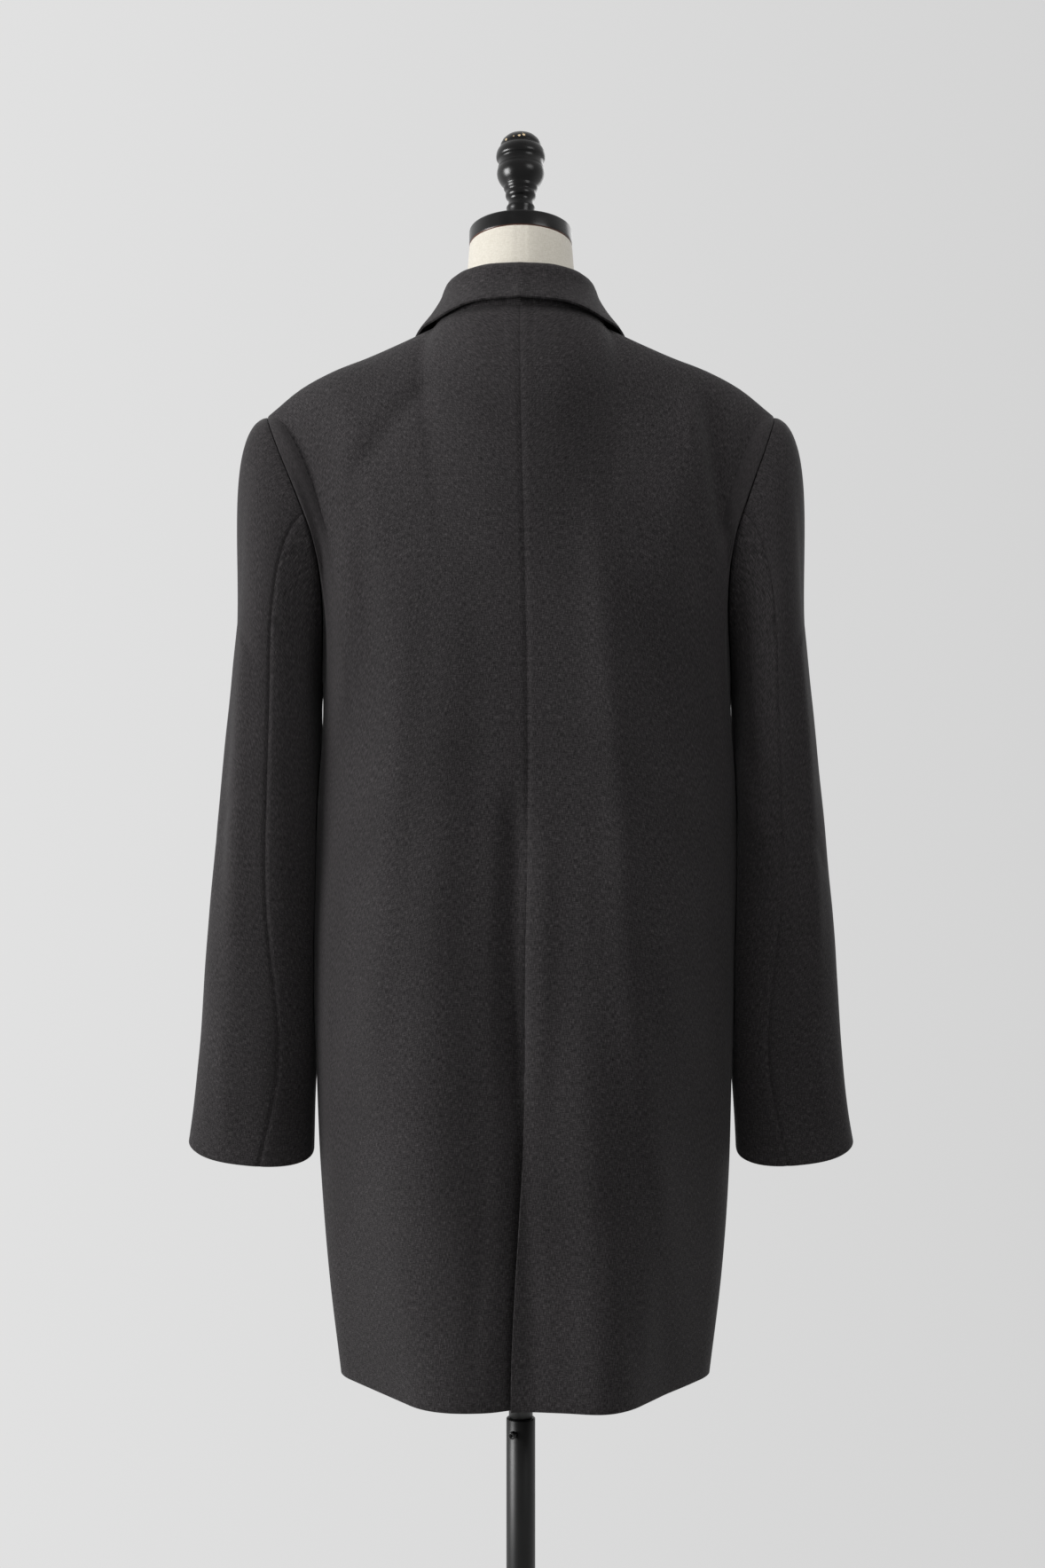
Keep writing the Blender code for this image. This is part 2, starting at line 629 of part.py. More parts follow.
def lapel_grid(side, tree):
    """Grid of a lapel, from its top edge down the roll line, laid over the front."""
    rows = []
    for part in np.linspace(0.0, 0.97, 13):
        roll = ROLL(part)
        edge = LAPEL_EDGE(part)
        row = []
        for share in np.linspace(0.0, 1.0, 9):
            x = roll.x + (edge.x - roll.x) * share
            z = roll.z + (edge.z - roll.z) * share
            if part == 0:
                x = np.interp(share, (0, 0.6, 1), (roll.x, GORGE_NOTCH[0], edge.x))
                z = np.interp(share, (0, 0.6, 1), (roll.z, GORGE_NOTCH[1], edge.z)) - GORGE_GAP
            x = side * x + SWAY(z).shift
            hit = tree.ray_cast(Vector((x, -300, z)), Vector((0, 1, 0)), 400)
            y = (hit[0] or tree.find_nearest(Vector((x, roll.y, z)))[0]).y
            lay = LAPEL_LAY[side]
            y -= (CLOTH + lay + LAPEL_PUFF * math.sin(math.pi * share) * (1 - part) ** 2) / LAPEL_SLANT
            row.append(lie_over(tree, np.array((x, y, z)), CLOTH + lay))
        rows.append(row)
    return rows


def form_grid(tree):
    """Closed rings of the dress form, kept under the cloth that hangs on it."""
    rows = []
    for z in FORM_HEIGHTS:
        row = FORM(z)
        ring = []
        for k in range(FORM_SIDES):
            angle = 2 * math.pi * k / FORM_SIDES
            c, s = math.cos(angle), math.sin(angle)
            depth = row.back_y if s > 0 else -row.front_y
            x = row.half_x * math.copysign(abs(c) ** (2 / row.power), c)
            y = depth * math.copysign(abs(s) ** (2 / row.power), s)
            height = z
            if z > NECK_TOP_Z - 1:
                height = z + y * math.tan(math.radians(CAP_TILT))
            point = np.array((x, y, height))
            if FORM_DRESSED[0] < z < FORM_DRESSED[1]:
                point = stay_under(tree, point, CLOTH + FORM_CLEAR)
            ring.append(point)
        rows.append(ring)
    return rows


def stay_under(tree, point, clear):
    """Draws a point in until the cloth over it is clear of it."""
    near, normal, _, _ = tree.find_nearest(Vector(point))
    if normal.dot(near - BODY_MIDDLE) < 0:
        normal = -normal
    depth = (near - Vector(point)).dot(normal)
    if depth < clear:
        point = point - np.array(normal) * (clear - depth)
    return point


def closed_solid(name, rings, finish, group):
    """A solid through closed rings, with flat ends."""
    mesh = grid_mesh(name, rings, closed=True)
    work = bmesh.new()
    work.from_mesh(mesh)
    columns = len(rings[0])
    work.verts.ensure_lookup_table()
    work.faces.new([work.verts[i] for i in range(columns)][::-1])
    work.faces.new(work.verts[-columns:])
    bmesh.ops.recalc_face_normals(work, faces=work.faces)
    work.to_mesh(mesh)
    work.free()
    return new_object(name, mesh, finish, group)


def cylinder(name, radius, low, high, finish, group, sides=32, bevel=0.0):
    """An upright cylinder on the stand's axis."""
    bpy.ops.mesh.primitive_cylinder_add(vertices=sides, radius=radius * MM, depth=(high - low) * MM)
    made = bpy.context.object
    made.name = made.data.name = name
    made.location.z = (high + low) / 2 * MM
    made.data.materials.append(finish)
    for holder in list(made.users_collection):
        holder.objects.unlink(made)
    group.objects.link(made)
    made.data.shade_smooth()
    made.data.set_sharp_from_angle(angle=math.radians(40))
    if bevel:
        edge = made.modifiers.new("edge", "BEVEL")
        edge.width = bevel * MM
        edge.segments = 2
        edge.limit_method = "ANGLE"
    return made


def turned(name, profile, finish, group, sides=28):
    """A turned solid from radius and height pairs, lowest first."""
    mesh = bpy.data.meshes.new(name)
    points = [(radius * MM, 0, height * MM) for radius, height in reversed(profile)]
    mesh.from_pydata(points, [(i, i + 1) for i in range(len(points) - 1)], [])
    made = new_object(name, mesh, finish, group)
    spin = made.modifiers.new("spin", "SCREW")
    spin.steps = spin.render_steps = sides
    spin.use_merge_vertices = True
    spin.merge_threshold = 0.00001
    spin.use_smooth_shade = True
    return made


def tilt_on_neck(piece, height):
    """Stands a piece on the neck's tilted axis, at a height over the cap's lower face."""
    tilt = math.radians(CAP_TILT)
    x, y, z = CAP_CENTRE
    piece.rotation_euler.x = tilt
    piece.location = Vector((x, y - math.sin(tilt) * height, z + math.cos(tilt) * height)) * MM


def main():
    for old in list(bpy.data.objects):
        bpy.data.objects.remove(old)
    group = bpy.data.collections.new("tailored_jacket_on_dress_form")
    bpy.context.scene.collection.children.link(group)
    wool = material("wool_twill", (0.035, 0.033, 0.034), 0.85)
    linen = material("linen", (0.68, 0.65, 0.58), 0.8)
    lacquer = material("black_lacquer", (0.02, 0.02, 0.02), 0.25)
    steel = material("black_steel", (0.012, 0.012, 0.012), 0.35, 0.6)
    horn = material("button_horn", (0.02, 0.018, 0.017), 0.35)

    panels = []
    for side, word in ((LEFT, "left"), (RIGHT, "right")):
        back = draw_in(body_panel(False, side), first=SEAM_DRAW, last=SEAM_DRAW, top=SHOULDER_DRAW)
        front = draw_in(body_panel(True, side), first=SEAM_DRAW, top=SHOULDER_DRAW)
        cloth_piece("back_" + word, back, wool, group, inside_out=side == LEFT)
        cloth_piece("front_" + word, front, wool, group, inside_out=side == LEFT)
        tree = surface_tree([back, front])
        cloth_piece("upper_sleeve_" + word, sleeve_piece(side, True, 11, tree), wool, group, side == LEFT)
        cloth_piece("under_sleeve_" + word, sleeve_piece(side, False, 10, tree), wool, group, side == LEFT)
        lapel = lapel_grid(side, surface_tree([front]))
        cloth_piece("lapel_" + word, lapel, wool, group, side == LEFT)
        panels += [back, front]

    tree = surface_tree(panels)
    cloth_piece("collar", collar_grid(tree), wool, group)
    closed_solid("form_torso", form_grid(tree), linen, group)

    for name, z in BUTTONS:
        button = cylinder(name, BUTTON_R, 0, BUTTON_H, horn, group, 24, 0.8)
        x = SWAY(z).shift
        hit = tree.ray_cast(Vector((x, -300, z)), Vector((0, 1, 0)), 400)
        outward = hit[1] if hit[1].y < 0 else -hit[1]
        button.rotation_euler = outward.to_track_quat("Z", "Y").to_euler()
        button.location = (hit[0] + outward * (SEAM + BUTTON_H / 2)) * MM

    cap = cylinder("neck_cap", CAP_R, 0, CAP_H, lacquer, group, 40, 1.2)
    tilt_on_neck(cap, CAP_H / 2)
    tilt_on_neck(turned("finial", FINIAL, lacquer, group), CAP_H + SEAM)
    cylinder("base_plate", BASE_R, 0, BASE_H, steel, group, 64, 1.5)
    cylinder("pole_socket", SOCKET_R, BASE_H + SEAM, BASE_H + SOCKET_H, steel, group, 32, 2.0)
    cylinder("pole_outer", POLE_R, BASE_H + SOCKET_H + SEAM, POLE_TOP_Z, steel, group, 32, 0.6)
    cylinder("pole_inner", INNER_POLE_R, POLE_TOP_Z + SEAM, FORM_BOTTOM_Z - SEAM, steel, group, 24)
    screw = cylinder("lock_screw", SCREW_R, 0, SCREW_H, steel, group, 12, 0.5)
    out = Vector((math.sin(SCREW_TURN), math.cos(SCREW_TURN), 0))
    screw.rotation_euler = out.to_track_quat("Z", "Y").to_euler()
    screw.location = (out * (POLE_R + SEAM + SCREW_H / 2) + Vector((0, 0, SCREW_Z))) * MM


main()
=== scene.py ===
"""Long charcoal jacket on a limbless dress form, seen from behind. Each section makes one piece of it."""

import math
from collections import namedtuple

import bpy
import numpy as np
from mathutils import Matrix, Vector, noise
from mathutils.bvhtree import BVHTree


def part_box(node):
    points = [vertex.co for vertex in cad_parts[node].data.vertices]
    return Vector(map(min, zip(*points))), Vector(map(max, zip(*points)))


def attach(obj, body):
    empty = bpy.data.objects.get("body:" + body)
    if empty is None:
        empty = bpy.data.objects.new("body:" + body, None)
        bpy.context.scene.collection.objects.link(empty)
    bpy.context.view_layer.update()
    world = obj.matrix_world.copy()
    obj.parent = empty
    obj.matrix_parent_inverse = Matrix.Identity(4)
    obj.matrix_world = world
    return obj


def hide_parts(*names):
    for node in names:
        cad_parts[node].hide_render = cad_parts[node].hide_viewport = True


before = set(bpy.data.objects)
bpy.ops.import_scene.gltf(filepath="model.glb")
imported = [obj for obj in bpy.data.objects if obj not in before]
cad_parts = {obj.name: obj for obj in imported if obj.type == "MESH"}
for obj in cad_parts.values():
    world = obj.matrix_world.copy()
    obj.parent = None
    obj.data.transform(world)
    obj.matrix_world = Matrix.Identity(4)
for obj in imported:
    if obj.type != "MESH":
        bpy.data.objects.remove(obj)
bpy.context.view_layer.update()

MM = 0.001
LEFT, RIGHT = 1, -1
SIDES = ((LEFT, "left"), (RIGHT, "right"))


# Wool suiting
# Melange worsted in a 2/2 twill: light and dark grey fibres spun together, so the cloth reads as
# charcoal with a fine heathered grain. Pressed and matt, with a low fuzz that lightens at its edges.
TWILL_PITCH = 1.6  # mm; the real twill lines are 0.6 mm apart, drawn coarser so that they show
GRAIN_LENGTH = 4.2  # mm, length of a slub of one shade along its thread
GRAIN_WIDTH = 0.65  # mm across it, coarser than a real thread, so that it shows


def linear(code):
    """An sRGB hex colour as the linear values that shaders take."""
    parts = [int(code[i : i + 2], 16) / 255 for i in (1, 3, 5)]
    return (*(c / 12.92 if c <= 0.04045 else ((c + 0.055) / 1.055) ** 2.4 for c in parts), 1)


def new_material(name, *settings):
    """A material, its nodes and its shader. Settings are pairs of one of the shader's sockets and a value."""
    made = bpy.data.materials.new(name)
    made.use_nodes = True
    shader = made.node_tree.nodes["Principled BSDF"]
    for socket, value in settings:
        shader.inputs[socket].default_value = value
    return made, made.node_tree, shader


def add(graph, kind, inputs=(), **settings):
    """Adds a node. Inputs are pairs of a socket and what feeds it: another node's socket or a value."""
    node = graph.nodes.new(kind)
    for name, value in settings.items():
        setattr(node, name, value)
    for socket, value in inputs:
        if isinstance(value, bpy.types.NodeSocket):
            graph.links.new(value, node.inputs[socket])
        else:
            node.inputs[socket].default_value = value
    return node


def ramp(graph, value, *stops):
    """A colour ramp through pairs of a position and a hex colour."""
    node = add(graph, "ShaderNodeValToRGB", [(0, value)])
    points = node.color_ramp.elements
    while len(points) < len(stops):
        points.new(0.5)
    for point, (place, code) in zip(points, stops):
        point.position = place
        point.color = linear(code)
    return node.outputs[0]


def crossed_threads(graph, place, warp, weft, share, details):
    """Noise drawn out along two sets of crossing threads. The share is how much of the weft shows."""
    sets = []
    for stretch, detail in zip((warp, weft), details):
        spot = add(graph, "ShaderNodeVectorMath", [(0, place), (1, stretch)], operation="MULTIPLY").outputs[0]
        drawn = add(graph, "ShaderNodeTexNoise", [("Vector", spot), ("Scale", 1.0), ("Detail", detail)])
        sets.append(drawn.outputs[0])
    return add(graph, "ShaderNodeMix", [("Factor", share), ("A", sets[0]), ("B", sets[1])]).outputs[0]


wool, graph, shader = new_material(
    "wool_suiting",
    ("Roughness", 0.88),
    ("IOR", 1.45),
    ("Specular IOR Level", 0.12),
    ("Sheen Weight", 0.05),
    ("Sheen Roughness", 0.45),
)
place = add(graph, "ShaderNodeUVMap", uv_map="cloth").outputs[0]
along, across = 1 / (GRAIN_LENGTH * MM), 1 / (GRAIN_WIDTH * MM)
grain = crossed_threads(graph, place, (across, along, 1), (along, across, 1), 0.42, (3.0, 2.0))
shade = ramp(graph, grain, (0.33, "#181617"), (0.5, "#2e2c2d"), (0.69, "#4b4849"))
cloud = add(graph, "ShaderNodeTexNoise", [("Vector", place), ("Scale", 9.0), ("Detail", 3.0)]).outputs[0]
cloud_shade = ramp(graph, cloud, (0.3, "#e9e9e9"), (0.7, "#ffffff"))
mixed = [("Factor", 1.0), (6, shade), (7, cloud_shade)]
colour = add(graph, "ShaderNodeMix", mixed, data_type="RGBA", blend_type="MULTIPLY").outputs[2]
graph.links.new(colour, shader.inputs["Base Color"])
turns = 2 * math.pi / (TWILL_PITCH * MM) / math.sqrt(2)
diagonal = [(0, place), (1, (turns, turns, 0))]
slant = add(graph, "ShaderNodeVectorMath", diagonal, operation="DOT_PRODUCT").outputs[1]
line = add(graph, "ShaderNodeMath", [(0, slant)], operation="SINE").outputs[0]
ribbed = [(0, line), (1, 0.25), (2, grain)]
relief = add(graph, "ShaderNodeMath", ribbed, operation="MULTIPLY_ADD").outputs[0]
bump = add(graph, "ShaderNodeBump", [("Strength", 0.2), ("Distance", 0.0003), ("Height", relief)]).outputs[0]
graph.links.new(bump, shader.inputs["Normal"])


# Back panels
# The two halves of the back, cut from the suiting and sewn at centre back down to the vent. The cloth
# hangs from the shoulder blades in a few soft folds and falls straight to the hem.
CLOTH = 2.0  # wall, in mm, as on all pieces of the jacket
EDGE_ROUND = 0.45  # of a pressed or cut edge
SEAM = -0.12  # sewn edges pass each other by this, so that no light shows through a seam
BACK_CUT = (265, 960)  # width and length of the flat piece, as with each cut below
BACK_HALF = 225  # width of a half back round the body
HEM_Z = 489
VENT_Z = 759
VENT_UNDERLAP = 30
SEAM_SINK = 1.2  # at centre back
VENT_STEP = 14  # height in which the left back's edge steps out to the underlap
VENT_LEAN = 11  # how far the right back's edge has swung over the left one at the hem
VENT_TUCK = 6.5  # how far the left back lies under the right one, fading over these widths and heights
VENT_TUCK_X = (8, 60)
VENT_TUCK_Z = (VENT_Z - 10, 960)
VENT_DIP = 4.5  # how much deeper it dips along centre back
VENT_DIP_WIDTH = 13
RING_SHARE = 0.62  # share of a panel's height that follows the sections below
CLIMB = 0.55  # how far a panel holds its course above them before it bends to its top edge
UNDERARM = (179, 0, 1085)
WAVE = 0.7  # soft unevenness of the hanging cloth
WAVE_LENGTHS = (46, 200, 95)
FOLDS_END_F = (0.93, 1.0)  # folds and waves fade before the top edge and before the armhole
FOLDS_END_X = (165, 180)


class Table:
    """Rows of named columns, read between the rows on a smooth curve. The first column is the station."""

    def __init__(self, columns, *rows):
        self.row = namedtuple("Row", columns)
        self.values = np.array(rows, float)
        self.stations = self.values[:, 0]
        self.slopes = np.gradient(self.values, self.stations, axis=0)

    def __call__(self, station):
        stations = self.stations
        station = min(max(station, stations[0]), stations[-1])
        i = min(max(int(np.searchsorted(stations, station)) - 1, 0), len(stations) - 2)
        step = stations[i + 1] - stations[i]
        t = (station - stations[i]) / step
        value = (
            (1 + 2 * t) * (1 - t) ** 2 * self.values[i]
            + t * t * (3 - 2 * t) * self.values[i + 1]
            + step * t * (1 - t) ** 2 * self.slopes[i]
            - step * t * t * (1 - t) * self.slopes[i + 1]
        )
        return self.row(*value)


# Half sections of the body: centre back, back corner, side, front corner, centre front, in mm
BODY = Table(
    "z cb_y back_x back_y side_x side_y front_x front_y cf_y round",
    (489, 116, 74, 117, 163, -10, 118, -118, -150, 34),
    (575, 118, 80, 118, 173, -6, 120, -116, -149, 40),
    (670, 120, 86, 118, 180, -3, 122, -113, -147, 48),
    (760, 120, 92, 117, 183, 0, 123, -109, -143, 56),
    (850, 118, 98, 114, 186, 2, 123, -106, -139, 62),
    (960, 114, 104, 110, 187, 4, 122, -102, -132, 66),
    (1060, 112, 108, 106, 182, 4, 119, -98, -126, 68),
    (1120, 112, 110, 105, 178, 4, 117, -96, -123, 70),
)
SWAY = Table(
    "z shift",
    (489, -4),
    (620, -4),
    (757, -3),
    (850, -3),
    (950, -5),
    (1060, -5.5),
    (1200, -3),
    (1330, 0),
    (1600, 0),
)
BACK_NECK = Table(
    "part x y z lean turn pull",
    (0.0, 0, 76, 1414, 36, 0, 70),
    (0.35, 38, 66, 1413.5, 46, -14, 62),
    (0.7, 64, 40, 1411.5, 56, -20, 68),
    (1.0, 74, 5, 1409, 70, -20, 88),
)
SHOULDER = Table(
    "part x y z lean turn pull",
    (0.0, 74, 5, 1409, 70, -20, 88),
    (0.2, 104, 4, 1394, 84, -8, 80),
    (0.4, 133, 3, 1381, 90, 0, 80),
    (0.6, 163, 2, 1369.5, 90, 0, 80),
    (0.8, 193, 1, 1354, 92, 4, 60),
    (1.0, 222.5, 0, 1331, 98, 24, 60),
)
BACK_ARMHOLE = Table(
    "part x y z lean turn pull",
    (0.0, 222.5, 0, 1331, 98, 24, 60),
    (0.08, 220, 21, 1324, 80, 38, 54),
    (0.22, 210, 45, 1298, 50, 50, 56),
    (0.38, 193, 61, 1255, 30, 60, 64),
    (0.54, 179, 61, 1214, 18, 72, 62),
    (0.7, 174, 49, 1164, 10, 80, 60),
    (0.86, 177, 27, 1110, 4, 88, 60),
    (1.0, *UNDERARM, 0, 90, 60),
)
BACK_EDGE = ((0.0, BACK_NECK), (0.24, SHOULDER), (0.62, BACK_ARMHOLE), (1.0, None))

# Folds: a ridge has a depth over 0 and a trough one under 0, both in mm
Fold = namedtuple("Fold", "x_top z_top x_mid z_mid x_low z_low depth width")
BACK_FOLDS = (
    Fold(100, 1190, 120, 900, 138, 715, 4.0, 17),
    Fold(66, 1010, 84, 820, 90, 630, 2.5, 30),
    Fold(46, 1110, 52, 860, 40, 600, -3.0, 22),
    Fold(11, 990, 12, 870, 10, 740, -7.0, 10),
    Fold(-13, 970, -14, 860, -12, 740, 2.5, 11),
    Fold(6, 800, -2, 640, -8, 480, -2.0, 9),
    Fold(74, 1352, 108, 1315, 138, 1268, -3.5, 13),
    Fold(148, 1300, 152, 1270, 154, 1238, 2.5, 9),
    Fold(148, 1232, 154, 1134, 164, 1045, 5.0, 12),
    Fold(-60, 1246, -84, 900, -118, 600, 4.0, 15),
    Fold(-96, 1158, -122, 1040, -136, 930, -4.0, 20),
    Fold(-116, 890, -116, 850, -120, 800, 3.0, 12),
    Fold(-144, 1336, -152, 1272, -163, 1200, 5.0, 9),
    Fold(-160, 1336, -166, 1272, -174, 1200, -10.0, 9),
    Fold(-160, 1220, -168, 1160, -172, 1070, 2.6, 9),
    Fold(-46, 800, -60, 600, -76, 400, 5.0, 24),
    Fold(26, 720, 29, 560, 31, 400, 4.0, 18),
    Fold(-98, 700, -112, 590, -122, 470, -2.6, 11),
    # Finer creases that only show close by
    Fold(138, 1262, 131, 1190, 128, 1120, -1.2, 8),
    Fold(30, 700, 36, 610, 44, 520, -1.4, 9),
    Fold(-70, 640, -76, 560, -88, 496, 1.6, 7),
    Fold(-140, 1180, -146, 1120, -150, 1040, 1.3, 8),
    Fold(150, 860, 154, 800, 152, 720, 1.2, 8),
)


def smooth_step(value, low, high):
    t = min(max((value - low) / (high - low), 0.0), 1.0)
    return t * t * (3 - 2 * t)


def unit(vector):
    return vector / np.linalg.norm(vector)


def ring_point(z, s):
    """A point of the body's section: s is 0 at centre back, 1 at the side and 2 at centre front."""
    row = BODY(z)
    corners = np.array(
        (
            (-row.back_x, row.back_y),
            (0, row.cb_y),
            (row.back_x, row.back_y),
            (row.side_x, row.side_y),
            (row.front_x, row.front_y),
            (0, row.cf_y),
            (-row.front_x, row.front_y),
        )
    )
    # Corners are drawn in and then averaged along the outline, which rounds them
    edges = np.diff(corners, axis=0)
    along = edges / np.linalg.norm(edges, axis=1)[:, None]
    corners[1:-1] -= 0.25 * row.round * np.diff(along, axis=0)
    reach = np.concatenate([[0], np.cumsum(np.linalg.norm(np.diff(corners, axis=0), axis=1))])
    back, side, front = reach[1], reach[3], reach[5]
    place = back + s * (side - back) if s < 1 else side + (s - 1) * (front - side)
    window = place + row.round * np.arange(-4, 5) * 2 / 9
    x, y = (np.interp(window, reach, corners[:, axis]).mean() for axis in (0, 1))
    return np.array((x, y, z))


def ring_reach(z):
    row = BODY(z)
    corner = math.dist((row.side_x, row.side_y), (row.front_x, row.front_y))
    return corner + math.dist((row.front_x, row.front_y), (0, row.cf_y))


def bend(t, start, first, last, end):
    """A point of the curve that leaves its start towards first and comes to its end from last."""
    return (1 - t) ** 3 * start + 3 * t * (1 - t) ** 2 * first + 3 * t * t * (1 - t) * last + t**3 * end


def top_edge(edge, u):
    for (start, stretch), (end, _) in zip(edge, edge[1:]):
        if u <= end:
            return stretch((u - start) / (end - start))
    return edge[-2][1](1.0)


def fold_lift(folds, x, z):
    lift = 0.0
    for fold in folds:
        t = (fold.z_top - z) / (fold.z_top - fold.z_low)
        if -0.15 < t < 1.15:
            middle = (fold.z_top - fold.z_mid) / (fold.z_top - fold.z_low)
            path = np.interp(t, (0, middle, 1), (fold.x_top, fold.x_mid, fold.x_low))
            fade = smooth_step(t, -0.15, 0.2) * (1 - smooth_step(t, 0.75, 1.15))
            lift += fold.depth * fade * math.exp(-(((x - path) / fold.width) ** 2))
    return lift


def vent_shift(z, side):
    if side == LEFT:
        return -VENT_UNDERLAP / BACK_HALF * (1 - smooth_step(z, VENT_Z - VENT_STEP, VENT_Z))
    return -VENT_LEAN / BACK_HALF * (1 - smooth_step(z, HEM_Z, VENT_Z))


def panel_point(u, f, is_front, side):
    """A point of a half panel: u runs over its width and f from the hem to its top edge."""
    edge = top_edge(FRONT_EDGE if is_front else BACK_EDGE, u)
    over = 1 if is_front else -1
    join_z = HEM_Z + RING_SHARE * (edge.z - HEM_Z)
    z = HEM_Z + min(f / RING_SHARE, 1.0) * (join_z - HEM_Z)
    if is_front:
        s = 1 + u * (1 + FRONT_LAP / ring_reach(z))
    else:
        s = u + (1 - u) ** 4 * vent_shift(z, side)
    point = start = ring_point(z, s)
    if f > RING_SHARE:
        t = (f - RING_SHARE) / (1 - RING_SHARE)
        climb = unit(start - ring_point(z - 10, s))
        lean, turn = math.radians(edge.lean), math.radians(edge.turn)
        arrive = np.array(
            (math.sin(turn) * math.sin(lean), over * math.cos(turn) * math.sin(lean), math.cos(lean))
        )
        end = np.array((edge.x, edge.y, edge.z))
        first = start + climb * CLIMB * (edge.z - join_z)
        last = end - arrive * edge.pull
        point = bend(t, start, first, last, end)
    x, y, z = point
    free = (1 - smooth_step(f, *FOLDS_END_F)) * (1 - smooth_step(abs(x), *FOLDS_END_X))
    out = fold_lift(FRONT_FOLDS if is_front else BACK_FOLDS, side * x, z) * free
    out += WAVE * noise.noise(Vector(np.array((side * x, y, z)) / WAVE_LENGTHS)) * free
    if side == LEFT and is_front:
        out -= FRONT_TUCK * (1 - smooth_step(x, *FRONT_TUCK_X)) * (1 - smooth_step(z, *FRONT_TUCK_Z))
    if side == LEFT and not is_front:
        tuck = VENT_TUCK * (1 - smooth_step(x, *VENT_TUCK_X))
        tuck += VENT_DIP * math.exp(-((x / VENT_DIP_WIDTH) ** 2))
        out -= tuck * (1 - smooth_step(z, *VENT_TUCK_Z))
    y += -out if is_front else out
    return np.array((side * x + SWAY(z).shift, y, z))


def spread(*stretches):
    """Shares from one break to the next, each stretch cut in its own number of steps."""
    shares = [stretches[0][0]]
    for (start, steps), (end, _) in zip(stretches, stretches[1:]):
        shares += list(np.linspace(start, end, steps + 1)[1:])
    return shares


def near_edges(shares, first=True, last=True, steps=(0.004, 0.011, 0.022)):
    """Adds columns close to an edge, where the cloth rolls over into its seam."""
    extra = [step for step in steps if first] + [1 - step for step in steps if last]
    return sorted(set(shares) | set(extra))


def normals_of(grid):
    """Unit normals of a grid of points, to one side of it."""
    along = np.gradient(grid, axis=0)
    across = np.gradient(grid, axis=1)
    normal = np.cross(across, along)
    return normal / np.maximum(np.linalg.norm(normal, axis=2), 1e-9)[:, :, None]


def roll_seams(grid, out, first=0.0, last=0.0, low=0.0, top=0.0, reach=3.2):
    """Sinks a grid's edges by depths in mm, as pressed seams do, and lets its sewn sides pass by SEAM."""
    normal = normals_of(grid) * out
    sink = np.zeros(grid.shape[:2])
    for depth, axis, flip in ((low, 0, False), (top, 0, True), (first, 1, False), (last, 1, True)):
        if np.any(depth):
            walk = np.flip(grid, axis) if flip else grid
            steps = np.linalg.norm(np.diff(walk, axis=axis), axis=2)
            zero = np.zeros_like(np.take(steps, [0], axis=axis))
            far = np.cumsum(np.concatenate([zero, steps], axis=axis), axis=axis)
            dip = depth * np.exp(-((far / reach) ** 2))
            sink = np.maximum(sink, np.flip(dip, axis) if flip else dip)
    rolled = grid - normal * sink[:, :, None]
    for is_sewn, edge, inner in ((first, 0, 1), (last, -1, -2)):
        if np.any(is_sewn):
            step = rolled[:, inner] - rolled[:, edge]
            rolled[:, edge] += SEAM * step / np.linalg.norm(step, axis=1)[:, None]
    return rolled


def new_object(name, data):
    made = bpy.data.objects.new(name, data)
    bpy.context.scene.collection.objects.link(made)
    return made


def grid_faces(rows, columns, start=0, closed=False):
    """Faces of a grid of points, row by row. A closed one joins its last column to its first."""
    faces = []
    for low in range(start, start + (rows - 1) * columns, columns):
        for i in range(columns if closed else columns - 1):
            after = (i + 1) % columns
            faces.append((low + i, low + after, low + columns + after, low + columns + i))
    return faces


def cloth_piece(name, node, grid, out, cut):
    """A shell of cloth under a grid of outer points, which stands for its CAD solid. The cut, in mm, is not
    used.
    """
    rows, columns = grid.shape[:2]
    mesh = bpy.data.meshes.new(name)
    flip = 1 if out > 0 else -1
    faces = [face[::flip] for face in grid_faces(rows, columns)]
    mesh.from_pydata((grid.reshape(-1, 3) * MM).tolist(), [], faces)
    middle = columns // 2
    widths = np.linalg.norm(np.diff(grid, axis=1), axis=2)
    across = np.concatenate([np.zeros((rows, 1)), np.cumsum(widths, axis=1)], axis=1)
    across -= across[:, middle : middle + 1]
    heights = np.linalg.norm(np.diff(grid[:, middle], axis=0), axis=1)
    up = np.concatenate([[0], np.cumsum(heights)])
    layer = mesh.uv_layers.new(name="cloth")
    corner = np.zeros(len(mesh.loops), int)
    mesh.loops.foreach_get("vertex_index", corner)
    flat = np.stack([across.reshape(-1), np.repeat(up, columns)], axis=1) * MM
    layer.data.foreach_set("uv", flat[corner].astype(np.float32).reshape(-1))
    mesh.materials.append(wool)
    mesh.shade_smooth()
    made = new_object(name, mesh)
    wall = made.modifiers.new("wall", "SOLIDIFY")
    wall.thickness = CLOTH * MM
    wall.offset = -1
    rim = made.modifiers.new("edge", "BEVEL")
    rim.width = EDGE_ROUND * MM
    rim.segments = 2
    rim.limit_method = "ANGLE"
    rim.angle_limit = math.radians(50)
    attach(made, "root")
    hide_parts(node)
    flat = [size * MM for size in cut]
    return made


def surface_tree(grids):
    """A search tree over outer surfaces, in mm."""
    points, faces = [], []
    for grid in grids:
        faces += grid_faces(*grid.shape[:2], start=len(points))
        points += [Vector(point) for point in grid.reshape(-1, 3)]
    return BVHTree.FromPolygons(points, faces)


